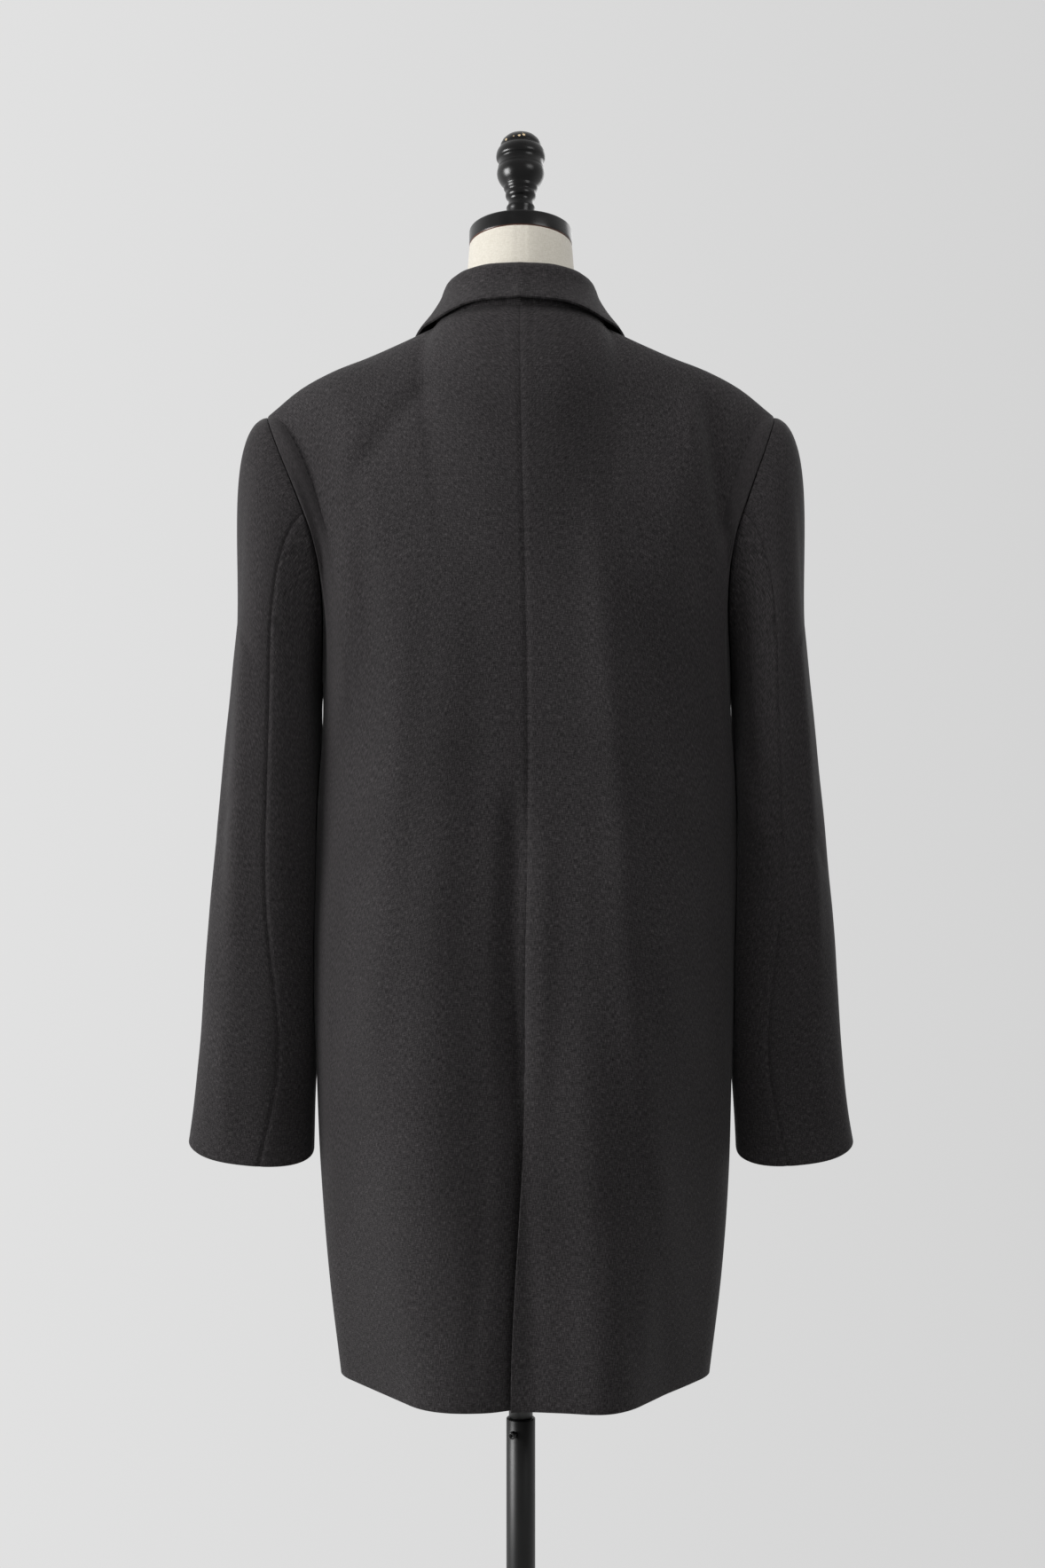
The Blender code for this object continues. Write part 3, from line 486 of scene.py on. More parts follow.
FINE = 1
TOP_STEPS = (0.002, 0.006, 0.012)  # close rows below a panel's top edge
BACK_WIDTHS = near_edges(spread((0.0, 16 // FINE), (0.24, 20 // FINE), (0.62, 32 // FINE), (1.0, 0)))
BACK_HEIGHTS = near_edges(
    spread(
        (0.0, 34 // FINE),
        (0.276, 8),  # fine rows where the vent opens
        (0.293, 3),
        (0.312, 40 // FINE),
        (RING_SHARE, 60 // FINE),
        (1.0, 0),
    ),
    first=False,
    steps=TOP_STEPS,
)
backs = {}
for side, word in SIDES:
    grid = np.array([[panel_point(u, f, False, side) for u in BACK_WIDTHS] for f in BACK_HEIGHTS])
    centre_seam = np.array([[SEAM_SINK * smooth_step(row[0][2], VENT_Z, VENT_Z + 20)] for row in grid])
    grid = roll_seams(grid, -side, first=centre_seam, last=0.4, top=0.5, reach=2.2)
    backs[side] = grid
    cloth_piece(f"back_panel_{word}", f"back_{word}", grid, -side, BACK_CUT)


# Front panels
# Two fronts that meet at the side and shoulder seams. The wearer's right front laps over the left one by
# 44 mm and closes with two buttons. Each is turned back above the top button along the roll line.
FRONT_CUT = (270, 960)
FRONT_LAP = 22  # past the centre, each side
FRONT_TUCK = 10.2  # how far the left front lies under the right one, fading over these widths and heights
FRONT_TUCK_X = (30, 75)
FRONT_TUCK_Z = (1150, 1330)
FRONT_ARMHOLE = Table(
    "part x y z lean turn pull",
    (0.0, *UNDERARM, 0, 90, 60),
    (0.16, 178, -25, 1106, 4, 90, 60),
    (0.34, 175, -46, 1146, 8, 88, 60),
    (0.52, 174, -55, 1194, 16, 82, 60),
    (0.7, 185, -51, 1242, 30, 75, 55),
    (0.86, 206, -38, 1292, 50, 56, 54),
    (0.95, 220, -18, 1323, 80, 38, 54),
    (1.0, 222.5, 0, 1331, 98, 24, 60),
)
FRONT_NECK = Table(
    "part x y z lean turn pull",
    (0.0, 74, 5, 1409, 70, -20, 88),
    (0.35, 70, -21, 1397, 60, -16, 68),
    (0.7, 61, -44, 1375, 42, -12, 58),
    (1.0, 50, -62, 1350, 34, 0, 60),
)
ROLL = Table(
    "part x y z lean turn pull",
    (0.0, 50, -62, 1350, 34, 0, 60),
    (0.25, 32, -90, 1272, 25, 0, 60),
    (0.5, 14, -111, 1195, 16, 0, 60),
    (0.75, -4, -123, 1117, 8, 0, 60),
    (1.0, -FRONT_LAP, -128, 1040, 3, 0, 60),
)
FRONT_EDGE = (
    (0.0, FRONT_ARMHOLE),
    (0.36, lambda part: SHOULDER(1 - part)),
    (0.62, FRONT_NECK),
    (0.72, ROLL),
    (1.0, None),
)
FRONT_FOLDS = (
    Fold(96, 1230, 104, 960, 112, 640, 3.5, 18),
    Fold(140, 1120, 142, 900, 136, 620, -3.0, 16),
    Fold(62, 940, 70, 780, 74, 560, -2.5, 20),
    Fold(-90, 1240, -100, 940, -106, 600, 3.5, 18),
    Fold(-138, 1100, -140, 880, -134, 640, -3.0, 16),
    Fold(-60, 960, -66, 760, -72, 540, -2.5, 22),
    Fold(150, 1180, 138, 1130, 120, 1090, -1.4, 9),
    Fold(-152, 1170, -140, 1118, -118, 1084, -1.4, 9),
    Fold(40, 890, 44, 840, 52, 790, -1.2, 8),
    Fold(-36, 760, -40, 680, -50, 600, 1.4, 10),
)
FRONT_WIDTHS = near_edges(
    spread((0.0, 28 // FINE), (0.36, 18 // FINE), (0.62, 8), (0.72, 20 // FINE), (1.0, 0))
)
FRONT_HEIGHTS = near_edges(
    spread((0.0, 70 // FINE), (RING_SHARE, 60 // FINE), (1.0, 0)), first=False, steps=TOP_STEPS
)
fronts = {}
for side, word in SIDES:
    grid = np.array([[panel_point(u, f, True, side) for u in FRONT_WIDTHS] for f in FRONT_HEIGHTS])
    grid = roll_seams(grid, -side, first=0.4, top=0.5, reach=2.2)
    fronts[side] = grid
    cloth_piece(f"front_panel_{word}", f"front_{word}", grid, -side, FRONT_CUT)


# Lapels
# The facing side of each front, turned back over the chest from the roll line. The cloth is doubled and
# its outer edge is pressed thin. The gorge seam joins it to the collar down to the notch.
LAPEL_CUT = (100, 316)
GORGE_NOTCH = (95, 1300)
LAPEL_TIP = (119, 1281)
LAPEL_SLANT = 0.94  # cosine of the chest's slope, as gaps are square to the cloth
LAPEL_LAY = {LEFT: 2.2, RIGHT: 1.8}  # gap under the lapel
LAPEL_PUFF = 2.4  # how much more it stands off between roll and edge, at the top
LAPEL_END = 0.985  # share of the roll line where it ends, above the top button
GORGE_SHARE = 0.12  # share of the lapel that bends to follow the gorge seam
GORGE_DROP = 0.6  # of the lapel below that seam
NOTCH_SHARE = 0.6  # share of the lapel's width at the notch
LAPEL_EDGE = Table("part x z", (0.0, *LAPEL_TIP), (0.3, 95, 1219), (0.6, 48, 1139), (1.0, -20, 1042))
BODY_MIDDLE = Vector((0, 0, 1150))


def seen_from_front(tree, x, z):
    """The point where a line from the front meets the cloth, and the cloth's normal there."""
    return tree.ray_cast(Vector((x, -300, z)), Vector((0, 1, 0)), 400)[:2]


def nearest_cloth(tree, point):
    """The nearest point of the cloth, and its normal away from the body."""
    near, normal, _, _ = tree.find_nearest(Vector(point))
    if normal.dot(near - BODY_MIDDLE) < 0:
        normal = -normal
    return near, normal


def lie_over(tree, point, clear):
    """Lifts a point off the nearest cloth until it is clear of it."""
    near, normal = nearest_cloth(tree, point)
    height = (Vector(point) - near).dot(normal)
    if height < clear:
        point = point + np.array(normal) * (clear - height)
    return point


def lapel_grid(side, tree):
    rows = []
    for part in np.linspace(0.0, LAPEL_END, 70 // FINE):
        roll, edge = ROLL(part), LAPEL_EDGE(part)
        row = []
        for share in near_edges(list(np.linspace(0.0, 1.0, 30 // FINE)), first=False):
            x = roll.x + (edge.x - roll.x) * share
            z = roll.z + (edge.z - roll.z) * share
            blend = max(0.0, 1 - part / GORGE_SHARE)
            bends = (0, NOTCH_SHARE, 1)
            x += blend * (np.interp(share, bends, (roll.x, GORGE_NOTCH[0], edge.x)) - x)
            z += blend * (np.interp(share, bends, (roll.z, GORGE_NOTCH[1], edge.z)) - GORGE_DROP - z)
            x = side * x + SWAY(z).shift
            hit = seen_from_front(tree, x, z)[0] or tree.find_nearest(Vector((x, roll.y, z)))[0]
            puff = LAPEL_PUFF * math.sin(math.pi * share) * (1 - part) ** 2
            y = hit.y - (CLOTH + LAPEL_LAY[side] + puff) / LAPEL_SLANT
            row.append(lie_over(tree, np.array((x, y, z)), CLOTH + LAPEL_LAY[side]))
        rows.append(row)
    return np.array(rows)


for side, word in SIDES:
    tree = surface_tree([fronts[side]])
    grid = roll_seams(lapel_grid(side, tree), side, last=0.5, low=0.5, top=0.2, reach=2.4)
    cloth_piece(f"lapel_facing_{word}", f"lapel_{word}", grid, -side, LAPEL_CUT)


# Collar
# One long strip that stands up from the neck seam, rolls over 40 mm higher and falls back down over it.
# Its free edge lies over the neck seam, a little off the back, so that a line of shade shows below it.
COLLAR_CUT = (519, 101)
# Neck seam, roll and free edge, from centre back to the gorge
COLLAR = Table(
    "part n_x n_y n_z r_x r_y r_z e_x e_y e_z",
    (0.0, 0, 74.4, 1415, 0, 59, 1453, 0, 83, 1420),
    (0.2, 36, 64.9, 1414.5, 30, 52, 1452.5, 43, 73, 1417),
    (0.4, 62, 40, 1412.5, 52, 28, 1450.5, 75, 40, 1408.5),
    (0.55, 71.8, 8, 1410, 60, 0, 1447, 90, 2, 1406),
    (0.7, 69, -18, 1399, 61, -26, 1427, 102, -34, 1386),
    (0.85, 61, -42, 1378, 57, -49, 1397, 110, -66, 1352),
    (1.0, 50, -61, 1354, 50.5, -66, 1360, 113, -84, 1320),
)
ROLL_R = 4.0  # half the thickness of the roll
COLLAR_LAY = 1.0  # gap under the fall
COLLAR_PUFF = 2.2  # how much more it stands off half way down
ALLOWANCE = 5.5  # inside the neck, below the seam
GORGE_RISE = 0.4  # of the collar above the gorge seam
GORGE = Table(
    "share x z",
    (0.0, 54, 1346),
    (0.35, 74.5, 1323.2),
    (0.7, GORGE_NOTCH[0], GORGE_NOTCH[1] + GORGE_RISE),
    (1.0, 113.4, 1318.8),
)


def gorge_point(share, side, tree):
    """A point of the fall's end, which follows the gorge seam to the notch and then turns up to the tip."""
    x, z = (np.interp(share, GORGE.stations, GORGE.values[:, i]) for i in (1, 2))
    x = side * x + SWAY(z).shift
    hit = seen_from_front(tree, x, z)[0]
    return np.array((x, hit.y - (CLOTH + COLLAR_LAY) / LAPEL_SLANT, z))


def collar_row(part, side, tree, at_gorge=False):
    neck, roll, edge = np.reshape(COLLAR(part)[1:], (3, 3))
    out = unit((edge - roll) * (1, 1, 0))
    up = np.array((0, 0, 1.0))
    inside = roll - out * ROLL_R - up * ROLL_R
    outside = roll + out * ROLL_R - up * ROLL_R * 0.6
    puff = -unit(np.cross(np.cross(out, up), edge - outside))
    allowance = neck * (0.985, 0.985, 1) - up * ALLOWANCE
    named = [allowance, neck - up * 1.2, neck + (inside - neck) * 0.5, inside, roll, outside]
    for share in (0.33, 0.67, 1.0):
        named.append(outside + (edge - outside) * share + puff * COLLAR_PUFF * math.sin(math.pi * share))
    named = np.array(named)
    far = np.concatenate([[0], np.cumsum(np.linalg.norm(np.diff(named, axis=0), axis=1))])
    curve = Table("far x y z", *np.column_stack([far, named]))
    row = []
    for share in near_edges(list(np.linspace(0, 1, 34 // FINE)), first=False, steps=(0.01, 0.025)):
        _, x, y, z = curve(share * far[-1])
        point = np.array((side * x + SWAY(z).shift, y, z))
        on_fall = (share * far[-1] - far[5]) / (far[-1] - far[5])
        if on_fall > 0 and at_gorge:
            point = gorge_point(on_fall, side, tree)
        elif on_fall > 0:
            point = lie_over(tree, point, CLOTH + COLLAR_LAY)
        elif at_gorge:
            point[2] -= 3 + 8 * share * far[-1] / far[5]
        row.append(point)
    return row


tree = surface_tree([*backs.values(), *fronts.values()])
parts = np.linspace(1.0, 0.0, 60 // FINE)
rows = [collar_row(1.0, LEFT, tree, at_gorge=True)]
rows += [collar_row(part, LEFT, tree) for part in parts]
rows += [collar_row(part, RIGHT, tree) for part in parts[-2::-1]]
rows.append(collar_row(1.0, RIGHT, tree, at_gorge=True))
grid = roll_seams(np.array(rows), 1, last=0.5, reach=2.4)
cloth_piece("collar_fall", "collar", grid, 1, COLLAR_CUT)


# Sleeves
# Two-piece sleeves set into the armholes: a wide upper piece over the outer side and a narrow under piece,
# joined by the elbow seam, which shows from behind, and by a front seam. They are plain at the cuff.
SLEEVE = Table(
    "z outer mid_y half_y inner",
    (680, 296, -16, 45, 187),
    (715, 290, -15, 47, 186),
    (777, 283, -13, 52, 182),
    (870, 276, -9, 59, 178),
    (963, 267, -5, 65, 178),
    (1060, 257, -2, 71, 180),
    (1150, 247, 0, 74, 178),
)
UPPER_CUT = (270, 646)
UNDER_CUT = (210, 572)
SLEEVE_SQUARE = 2.3  # 2 is round, more is squarer
SLEEVE_JOIN = (1090, 60)  # height where the head ends, and how much more outside and less inside
CUFF = (680, 0.107, -0.279)  # height of the cuff and how it slopes outward and to the back
HEAD_SHARE = 0.3  # share of the length that is the sleeve head
HEAD_LEAVE = (0.3, 0.1)  # how far it holds its course off the armhole, and how much less on the outer side
HEAD_ARRIVE = 0.42  # and before it joins the sleeve
SLEEVE_OFF = 0.5  # off the armhole's seam line
SLEEVE_WAVE = 0.8  # soft unevenness
SLEEVE_INSIDE = 215  # from the centre, within which a sleeve hangs against the body
BODY_CLEAR = 1.2
FRONT_SINK, ELBOW_SINK = 0.4, 1.1  # of its two seams
SLEEVE_SEAMS = Table(
    "part elbow front",
    (0.0, 80, 290),
    (0.3, 91, 286),
    (0.6, 94, 284),
    (0.85, 112, 286),
    (1.0, 101, 288),
)
Crease = namedtuple("Crease", "side angle_top z_top angle_low z_low depth width")
SLEEVE_CREASES = (
    Crease(LEFT, 52, 1190, 68, 830, 3.0, 12),
    Crease(RIGHT, 54, 1180, 62, 800, 3.0, 12),
    Crease(LEFT, 30, 1080, 40, 900, -2.5, 14),
    Crease(RIGHT, 150, 1030, 120, 960, 2.5, 16),
    Crease(LEFT, 300, 1060, 320, 860, 3.0, 16),
    Crease(RIGHT, 305, 1080, 330, 880, 3.0, 16),
    # Finer creases round the elbow and above the cuff
    Crease(LEFT, 70, 1010, 20, 960, -1.0, 9),
    Crease(RIGHT, 80, 990, 30, 930, -1.0, 9),
    Crease(LEFT, 290, 990, 250, 930, -1.4, 10),
    Crease(RIGHT, 292, 970, 255, 920, -1.4, 10),
    Crease(LEFT, 60, 800, 74, 700, 1.2, 9),
    Crease(RIGHT, 66, 790, 58, 700, 1.2, 9),
)


def squared(value, power):
    """Moves a sine or cosine so that it draws a rounded square in place of a circle."""
    return math.copysign(abs(value) ** (2 / power), value)


def sleeve_ring(z, angle, side):
    """A point of the sleeve's section: the angle is 0 on the outer side and 90 at the back."""
    row = SLEEVE(z)
    inner = row.inner + side * SWAY(z).shift
    middle, half = (row.outer + inner) / 2, (row.outer - inner) / 2
    c, s = math.cos(math.radians(angle)), math.sin(math.radians(angle))
    return np.array(
        (middle + half * squared(c, SLEEVE_SQUARE), row.mid_y + row.half_y * squared(s, SLEEVE_SQUARE), z)
    )


def sleeve_lift(angle, z, side):
    lift = 0.0
    for crease in SLEEVE_CREASES:
        if crease.side == side:
            t = (crease.z_top - z) / (crease.z_top - crease.z_low)
            if -0.2 < t < 1.2:
                path = crease.angle_top + t * (crease.angle_low - crease.angle_top)
                fade = smooth_step(t, -0.2, 0.3) * (1 - smooth_step(t, 0.7, 1.2))
                turn = (angle - path + 180) % 360 - 180
                lift += crease.depth * fade * math.exp(-((turn / crease.width) ** 2))
    return lift


def sleeve_point(angle, t, side):
    """A point of the sleeve: t is 0 at the armhole and 1 at the cuff."""
    c, s = math.cos(math.radians(angle)), math.sin(math.radians(angle))
    join_z = SLEEVE_JOIN[0] + SLEEVE_JOIN[1] * c
    if t < HEAD_SHARE:
        k = t / HEAD_SHARE
        outward = max(0.0, (1 + c) / 2)
        down = 0.7 * (1 - outward) + 0.35 * outward
        leave = unit(np.array((0.12 + 1.13 * outward, 0.45 * s * outward, -down)))
        edge = BACK_ARMHOLE(angle / 180) if angle <= 180 else FRONT_ARMHOLE((angle - 180) / 180)
        start = np.array((edge.x, edge.y, edge.z)) + leave * SLEEVE_OFF
        start[0] += SWAY(start[2]).shift * side
        end = sleeve_ring(join_z, angle, side)
        drop = unit(end - sleeve_ring(join_z + 10, angle, side))
        reach = np.linalg.norm(end - start)
        first = start + leave * reach * (HEAD_LEAVE[0] - HEAD_LEAVE[1] * outward)
        last = end - drop * reach * HEAD_ARRIVE
        return bend(k, start, first, last, end)
    k = (t - HEAD_SHARE) / (1 - HEAD_SHARE)
    base, rise, slope = CUFF
    cuff = sleeve_ring(base, angle, side)
    z = join_z + k * (base + rise * (cuff[0] - SLEEVE(base).inner) + slope * cuff[1] - join_z)
    point = sleeve_ring(z, angle, side)
    row = SLEEVE(z)
    middle = np.array(((row.outer + row.inner + side * SWAY(z).shift) / 2, row.mid_y))
    wobble = SLEEVE_WAVE * noise.noise(Vector((c * 1.6, s * 1.6 + 7 * side, z / 60)))
    point[:2] += unit(point[:2] - middle) * (sleeve_lift(angle, z, side) + wobble * smooth_step(k, 0.0, 0.15))
    return point


def push_clear(tree, point, clear, away):
    """Moves a point away from the body until it is clear of the cloth there."""
    point, away = Vector(point), Vector(away)
    hit = tree.ray_cast(point - away * 40, away, 80)
    if hit[0] is not None:
        point += away * max(0.0, (hit[0] - point).dot(away) + clear)
    return np.array(point)


def sleeve_grid(side, is_upper, steps, tree):
    rows = []
    for t in near_edges(spread((0.0, 44 // FINE), (HEAD_SHARE, 90 // FINE), (1.0, 0)), last=False):
        seams = SLEEVE_SEAMS(t)
        first, last = (seams.front - 360, seams.elbow) if is_upper else (seams.elbow, seams.front)
        row = []
        for share in near_edges(list(np.linspace(0, 1, steps // FINE + 1)), steps=(0.008, 0.02)):
            angle = (first + share * (last - first)) % 360
            x, y, z = sleeve_point(angle, t, side)
            point = np.array((side * x, y, z))
            if x < SLEEVE_INSIDE and (t > 0.1 or (t > 0.02 and abs(angle - 180) < 50)):
                point = push_clear(tree, point, BODY_CLEAR * smooth_step(t, 0.02, 0.1), (side, 0, 0))
            row.append(point)
        rows.append(row)
    return np.array(rows)


for side, word in SIDES:
    tree = surface_tree([backs[side], fronts[side]])
    for kind, is_upper, steps, cut in (("upper", True, 56, UPPER_CUT), ("under", False, 48, UNDER_CUT)):
        first, last = (FRONT_SINK, ELBOW_SINK) if is_upper else (ELBOW_SINK, FRONT_SINK)
        grid = roll_seams(sleeve_grid(side, is_upper, steps, tree), -side, first, last, low=0.6, reach=2.0)
        cloth_piece(f"{kind}_sleeve_cloth_{word}", f"{kind}_sleeve_{word}", grid, -side, cut)


# Buttons
# Two dark horn buttons with four holes and a raised rim, sewn on with charcoal thread. Each passes through
# a worked buttonhole in the right front, whose end shows beside it.
horn, graph, shader = new_material("horn_button", ("Roughness", 0.3))
place = add(graph, "ShaderNodeTexCoord").outputs["Object"]
streaks = [("Vector", place), ("Scale", 90.0), ("Detail", 3.0), ("Distortion", 1.6)]
streak = add(graph, "ShaderNodeTexNoise", streaks).outputs[0]
graph.links.new(ramp(graph, streak, (0.35, "#191615"), (0.7, "#3a3230")), shader.inputs["Base Color"])
thread, graph, shader = new_material("charcoal_thread", ("Roughness", 0.7))
place = add(graph, "ShaderNodeTexCoord").outputs["Object"]
twist = add(graph, "ShaderNodeTexWave", [("Vector", place), ("Scale", 600.0), ("Distortion", 1.0)]).outputs[0]
graph.links.new(ramp(graph, twist, (0.2, "#1c1b1b"), (0.9, "#3b3939")), shader.inputs["Base Color"])


def turned(name, profile, finish, sides=64):
    """A turned solid from radius and height pairs in mm, lowest first."""
    mesh = bpy.data.meshes.new(name)
    points = [(radius * MM, 0, height * MM) for radius, height in reversed(profile)]
    mesh.from_pydata(points, [(i, i + 1) for i in range(len(points) - 1)], [])
    mesh.materials.append(finish)
    made = new_object(name, mesh)
    spin = made.modifiers.new("spin", "SCREW")
    spin.steps = spin.render_steps = sides
    spin.use_merge_vertices = True
    spin.merge_threshold = 0.00001
    spin.use_smooth_shade = True
    return made


def finished(made, slot, *nodes):
    """Fixes a piece to the frame in place of its CAD nodes."""
    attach(made, "root")
    if nodes:
        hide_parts(*nodes)
    return made


def as_mesh(made):
    """Applies a piece's modifiers."""
    bpy.context.view_layer.update()
    solid = bpy.data.meshes.new_from_object(made.evaluated_get(bpy.context.evaluated_depsgraph_get()))
    made.modifiers.clear()
    made.data = solid
    return made


def thread_line(name, points, radius, closed=False):
    """A length of charcoal thread through points in mm."""
    curve = bpy.data.curves.new(name, "CURVE")
    curve.dimensions = "3D"
    curve.bevel_depth = radius * MM
    run = curve.splines.new("POLY")
    run.points.add(len(points) - 1)
    run.use_cyclic_u = closed
    for point, spot in zip(run.points, points):
        point.co = (*(size * MM for size in spot), 1)
    curve.materials.append(thread)
    return new_object(name, curve)


BUTTON_PROFILE = (
    (0, 0.0), (9.5, 0.0), (10.9, 0.6), (11.5, 1.6), (11.5, 2.8), (10.9, 3.7), (9.9, 4.0), (9.0, 3.7),
    (8.2, 3.1), (6.0, 2.8), (0, 2.8),
)
BUTTON_OFF = 0.4  # gap to the cloth, bridged by the thread
HOLE_STEP = 1.9  # from the button's centre to its holes, each way
HOLE_RADIUS = 0.85
DRILL = (9, 2)  # length and middle height of the drill that cuts a hole
STITCH_RADIUS = 0.45
STITCH_LOW, STITCH_HIGH, STITCH_OVER = 1.2, 3.1, 0.4  # in its hole, on the face, and over the first stitch
BUTTONHOLE_LONG, BUTTONHOLE_ROUND, BUTTONHOLE_HIGH = 9, 1.5, 1.1  # halves of its length, end and height
BUTTONHOLE_RADIUS = 0.55
BUTTONHOLE_OFF = 0.35

front_tree = surface_tree([fronts[RIGHT]])
for node in ("button_top", "button_low"):
    low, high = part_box(node)
    x, z = (low.x + high.x) / 2 / MM, (low.z + high.z) / 2 / MM
    spot, outward = seen_from_front(front_tree, x, z)
    outward = outward if outward.y < 0 else -outward
    button = as_mesh(turned(f"{node}_horn", BUTTON_PROFILE, horn, 48))
    for dx in (-HOLE_STEP, HOLE_STEP):
        for dy in (-HOLE_STEP, HOLE_STEP):
            centre = (dx * MM, dy * MM, DRILL[1] * MM)
            bpy.ops.mesh.primitive_cylinder_add(
                vertices=16, radius=HOLE_RADIUS * MM, depth=DRILL[0] * MM, location=centre
            )
            drill = bpy.context.object
            cut = button.modifiers.new("hole", "BOOLEAN")
            cut.object = drill
            as_mesh(button)
            bpy.data.objects.remove(drill)
    face = outward.to_track_quat("Z", "X").to_matrix().to_4x4()
    face.translation = (spot + outward * BUTTON_OFF) * MM
    button.matrix_world = face
    finished(button, "horn", node)
    for i, (start, end) in enumerate((((-1, -1), (1, 1)), ((-1, 1), (1, -1)))):
        points = []
        for t in (0, 0.15, 0.5, 0.85, 1):
            height = STITCH_LOW if t in (0, 1) else STITCH_HIGH + STITCH_OVER * i
            points.append((*(HOLE_STEP * (a + (b - a) * t) for a, b in zip(start, end)), height))
        stitch = thread_line(f"{node}_stitch_{i}", points, STITCH_RADIUS)
        stitch.matrix_world = face
        finished(stitch, "wool_twill")
    points = []
    for turn in np.arange(0.13, 6.28, 0.26):
        along = math.copysign(BUTTONHOLE_LONG, math.cos(turn)) + BUTTONHOLE_ROUND * math.cos(turn)
        up = BUTTONHOLE_HIGH * math.sin(turn)
        spot, _ = seen_from_front(front_tree, x - BUTTONHOLE_LONG + along, z + up)
        points.append(spot - Vector((0, BUTTONHOLE_OFF, 0)))
    finished(thread_line(f"{node}_hole_edge", points, BUTTONHOLE_RADIUS, closed=True), "wool_twill")


# Form
# A limbless body of moulded shell, padded and covered in fine cream linen cut in panels, so that a narrow
# double seam runs up the back of the neck. Only the neck shows, above the collar.
FORM = Table(
    "z half_x back_y front_y power",
    (760, 157, 96, -112, 2.2),
    (820, 164, 100, -114, 2.2),
    (900, 146, 92, -102, 2.2),
    (1000, 118, 82, -92, 2.2),
    (1100, 132, 86, -102, 2.2),
    (1180, 146, 90, -94, 2.2),
    (1250, 157, 86, -76, 2.1),
    (1300, 163, 72, -58, 1.9),
    (1335, 163, 54, -44, 1.8),
    (1358, 150, 46, -37, 1.6),
    (1376, 124, 43, -35, 1.5),
    (1392, 95, 45, -37, 1.6),
    (1408, 69, 51, -42, 1.8),
    (1428, 56, 58, -47, 2.0),
    (1450, 48.5, 53, -44, 2.0),
    (1480, 45, 47, -43, 2.0),
)
FORM_CLEAR = 0.9  # under the cloth
ALLOWANCE_CLEAR = 2.6  # more under the neck seam, where the collar's allowance lies
FORM_DRESSED = (1000, 1440)  # heights between which the cloth lies on it
CAP_TILT = math.radians(10)
NECK_FOOT_Z = 1430
NECK_TOP_Z = 1479.3
SEAM_HALF = 2.0  # mm, half of the strip between the neck's two seam lines
SEAM_DEEP = 0.8
SEAM_WIDE = 0.6
LINEN_ACROSS = 1800  # to the metre: threads 0.55 mm apart, coarser than real, so that they show
LINEN_ALONG = 260  # to the metre: slubs 3.8 mm long

linen, graph, shader = new_material(
    "cream_linen", ("Roughness", 0.9), ("Specular IOR Level", 0.2), ("Sheen Weight", 0.2)
)
place = add(graph, "ShaderNodeTexCoord").outputs["Object"]
warp = (LINEN_ACROSS, LINEN_ACROSS, LINEN_ALONG)
weft = (LINEN_ALONG, LINEN_ALONG, LINEN_ACROSS)
weave = crossed_threads(graph, place, warp, weft, 0.5, (2.0, 2.0))
colour = ramp(graph, weave, (0.3, "#bcb6a9"), (0.55, "#cac5ba"), (0.8, "#d7d3c9"))
graph.links.new(colour, shader.inputs["Base Color"])
bump = add(graph, "ShaderNodeBump", [("Strength", 0.25), ("Distance", 0.0004), ("Height", weave)]).outputs[0]
graph.links.new(bump, shader.inputs["Normal"])


def stay_under(tree, point, clear):
    """Sinks a point until it is clear under the nearest cloth, less the further that is to one side."""
    near, normal = nearest_cloth(tree, point)
    gap = near - Vector(point)
    depth = gap.dot(normal)
    beside = (gap - normal * depth).length
    if depth < clear:
        point = point - np.array(normal) * (clear - depth) * (1 - smooth_step(beside, 3, 14))
    return point


tree = surface_tree([*backs.values(), *fronts.values()])
heights = spread((760, 4), (766, 60 // FINE), (1320, 40 // FINE), (NECK_FOOT_Z, 14), (NECK_TOP_Z, 0))
sides = 120 // FINE
rings = []
for z in heights:
    row = FORM(z)
    for k in range(sides):
        angle = 2 * math.pi * k / sides
        c, s = math.cos(angle), math.sin(angle)
        depth = row.back_y if s > 0 else -row.front_y
        inset = 1 - 0.012 * (1 - smooth_step(z, 760, 765))
        x = row.half_x * squared(c, row.power) * inset
        y = depth * squared(s, row.power) * inset
        height = z + y * math.tan(CAP_TILT) * smooth_step(z, NECK_FOOT_Z, NECK_TOP_Z)
        point = np.array((x, y, height))
        if FORM_DRESSED[0] < z < FORM_DRESSED[1]:
            clear = CLOTH + FORM_CLEAR + ALLOWANCE_CLEAR * smooth_step(z, 1390, 1402)
            point = stay_under(tree, point, clear)
        if s > 0:
            point[1] -= SEAM_DEEP * math.exp(-(((abs(x) - SEAM_HALF) / SEAM_WIDE) ** 2))
        rings.append(Vector(point) * MM)
mesh = bpy.data.meshes.new("form_cover")
faces = grid_faces(len(heights), sides, closed=True)
faces += [tuple(range(sides))[::-1], tuple(range(len(rings) - sides, len(rings)))]
mesh.from_pydata(rings, [], faces)
mesh.materials.append(linen)
mesh.shade_smooth()
mesh.set_sharp_from_angle(angle=math.radians(50))
finished(new_object("form_cover", mesh), "linen", "form_torso")


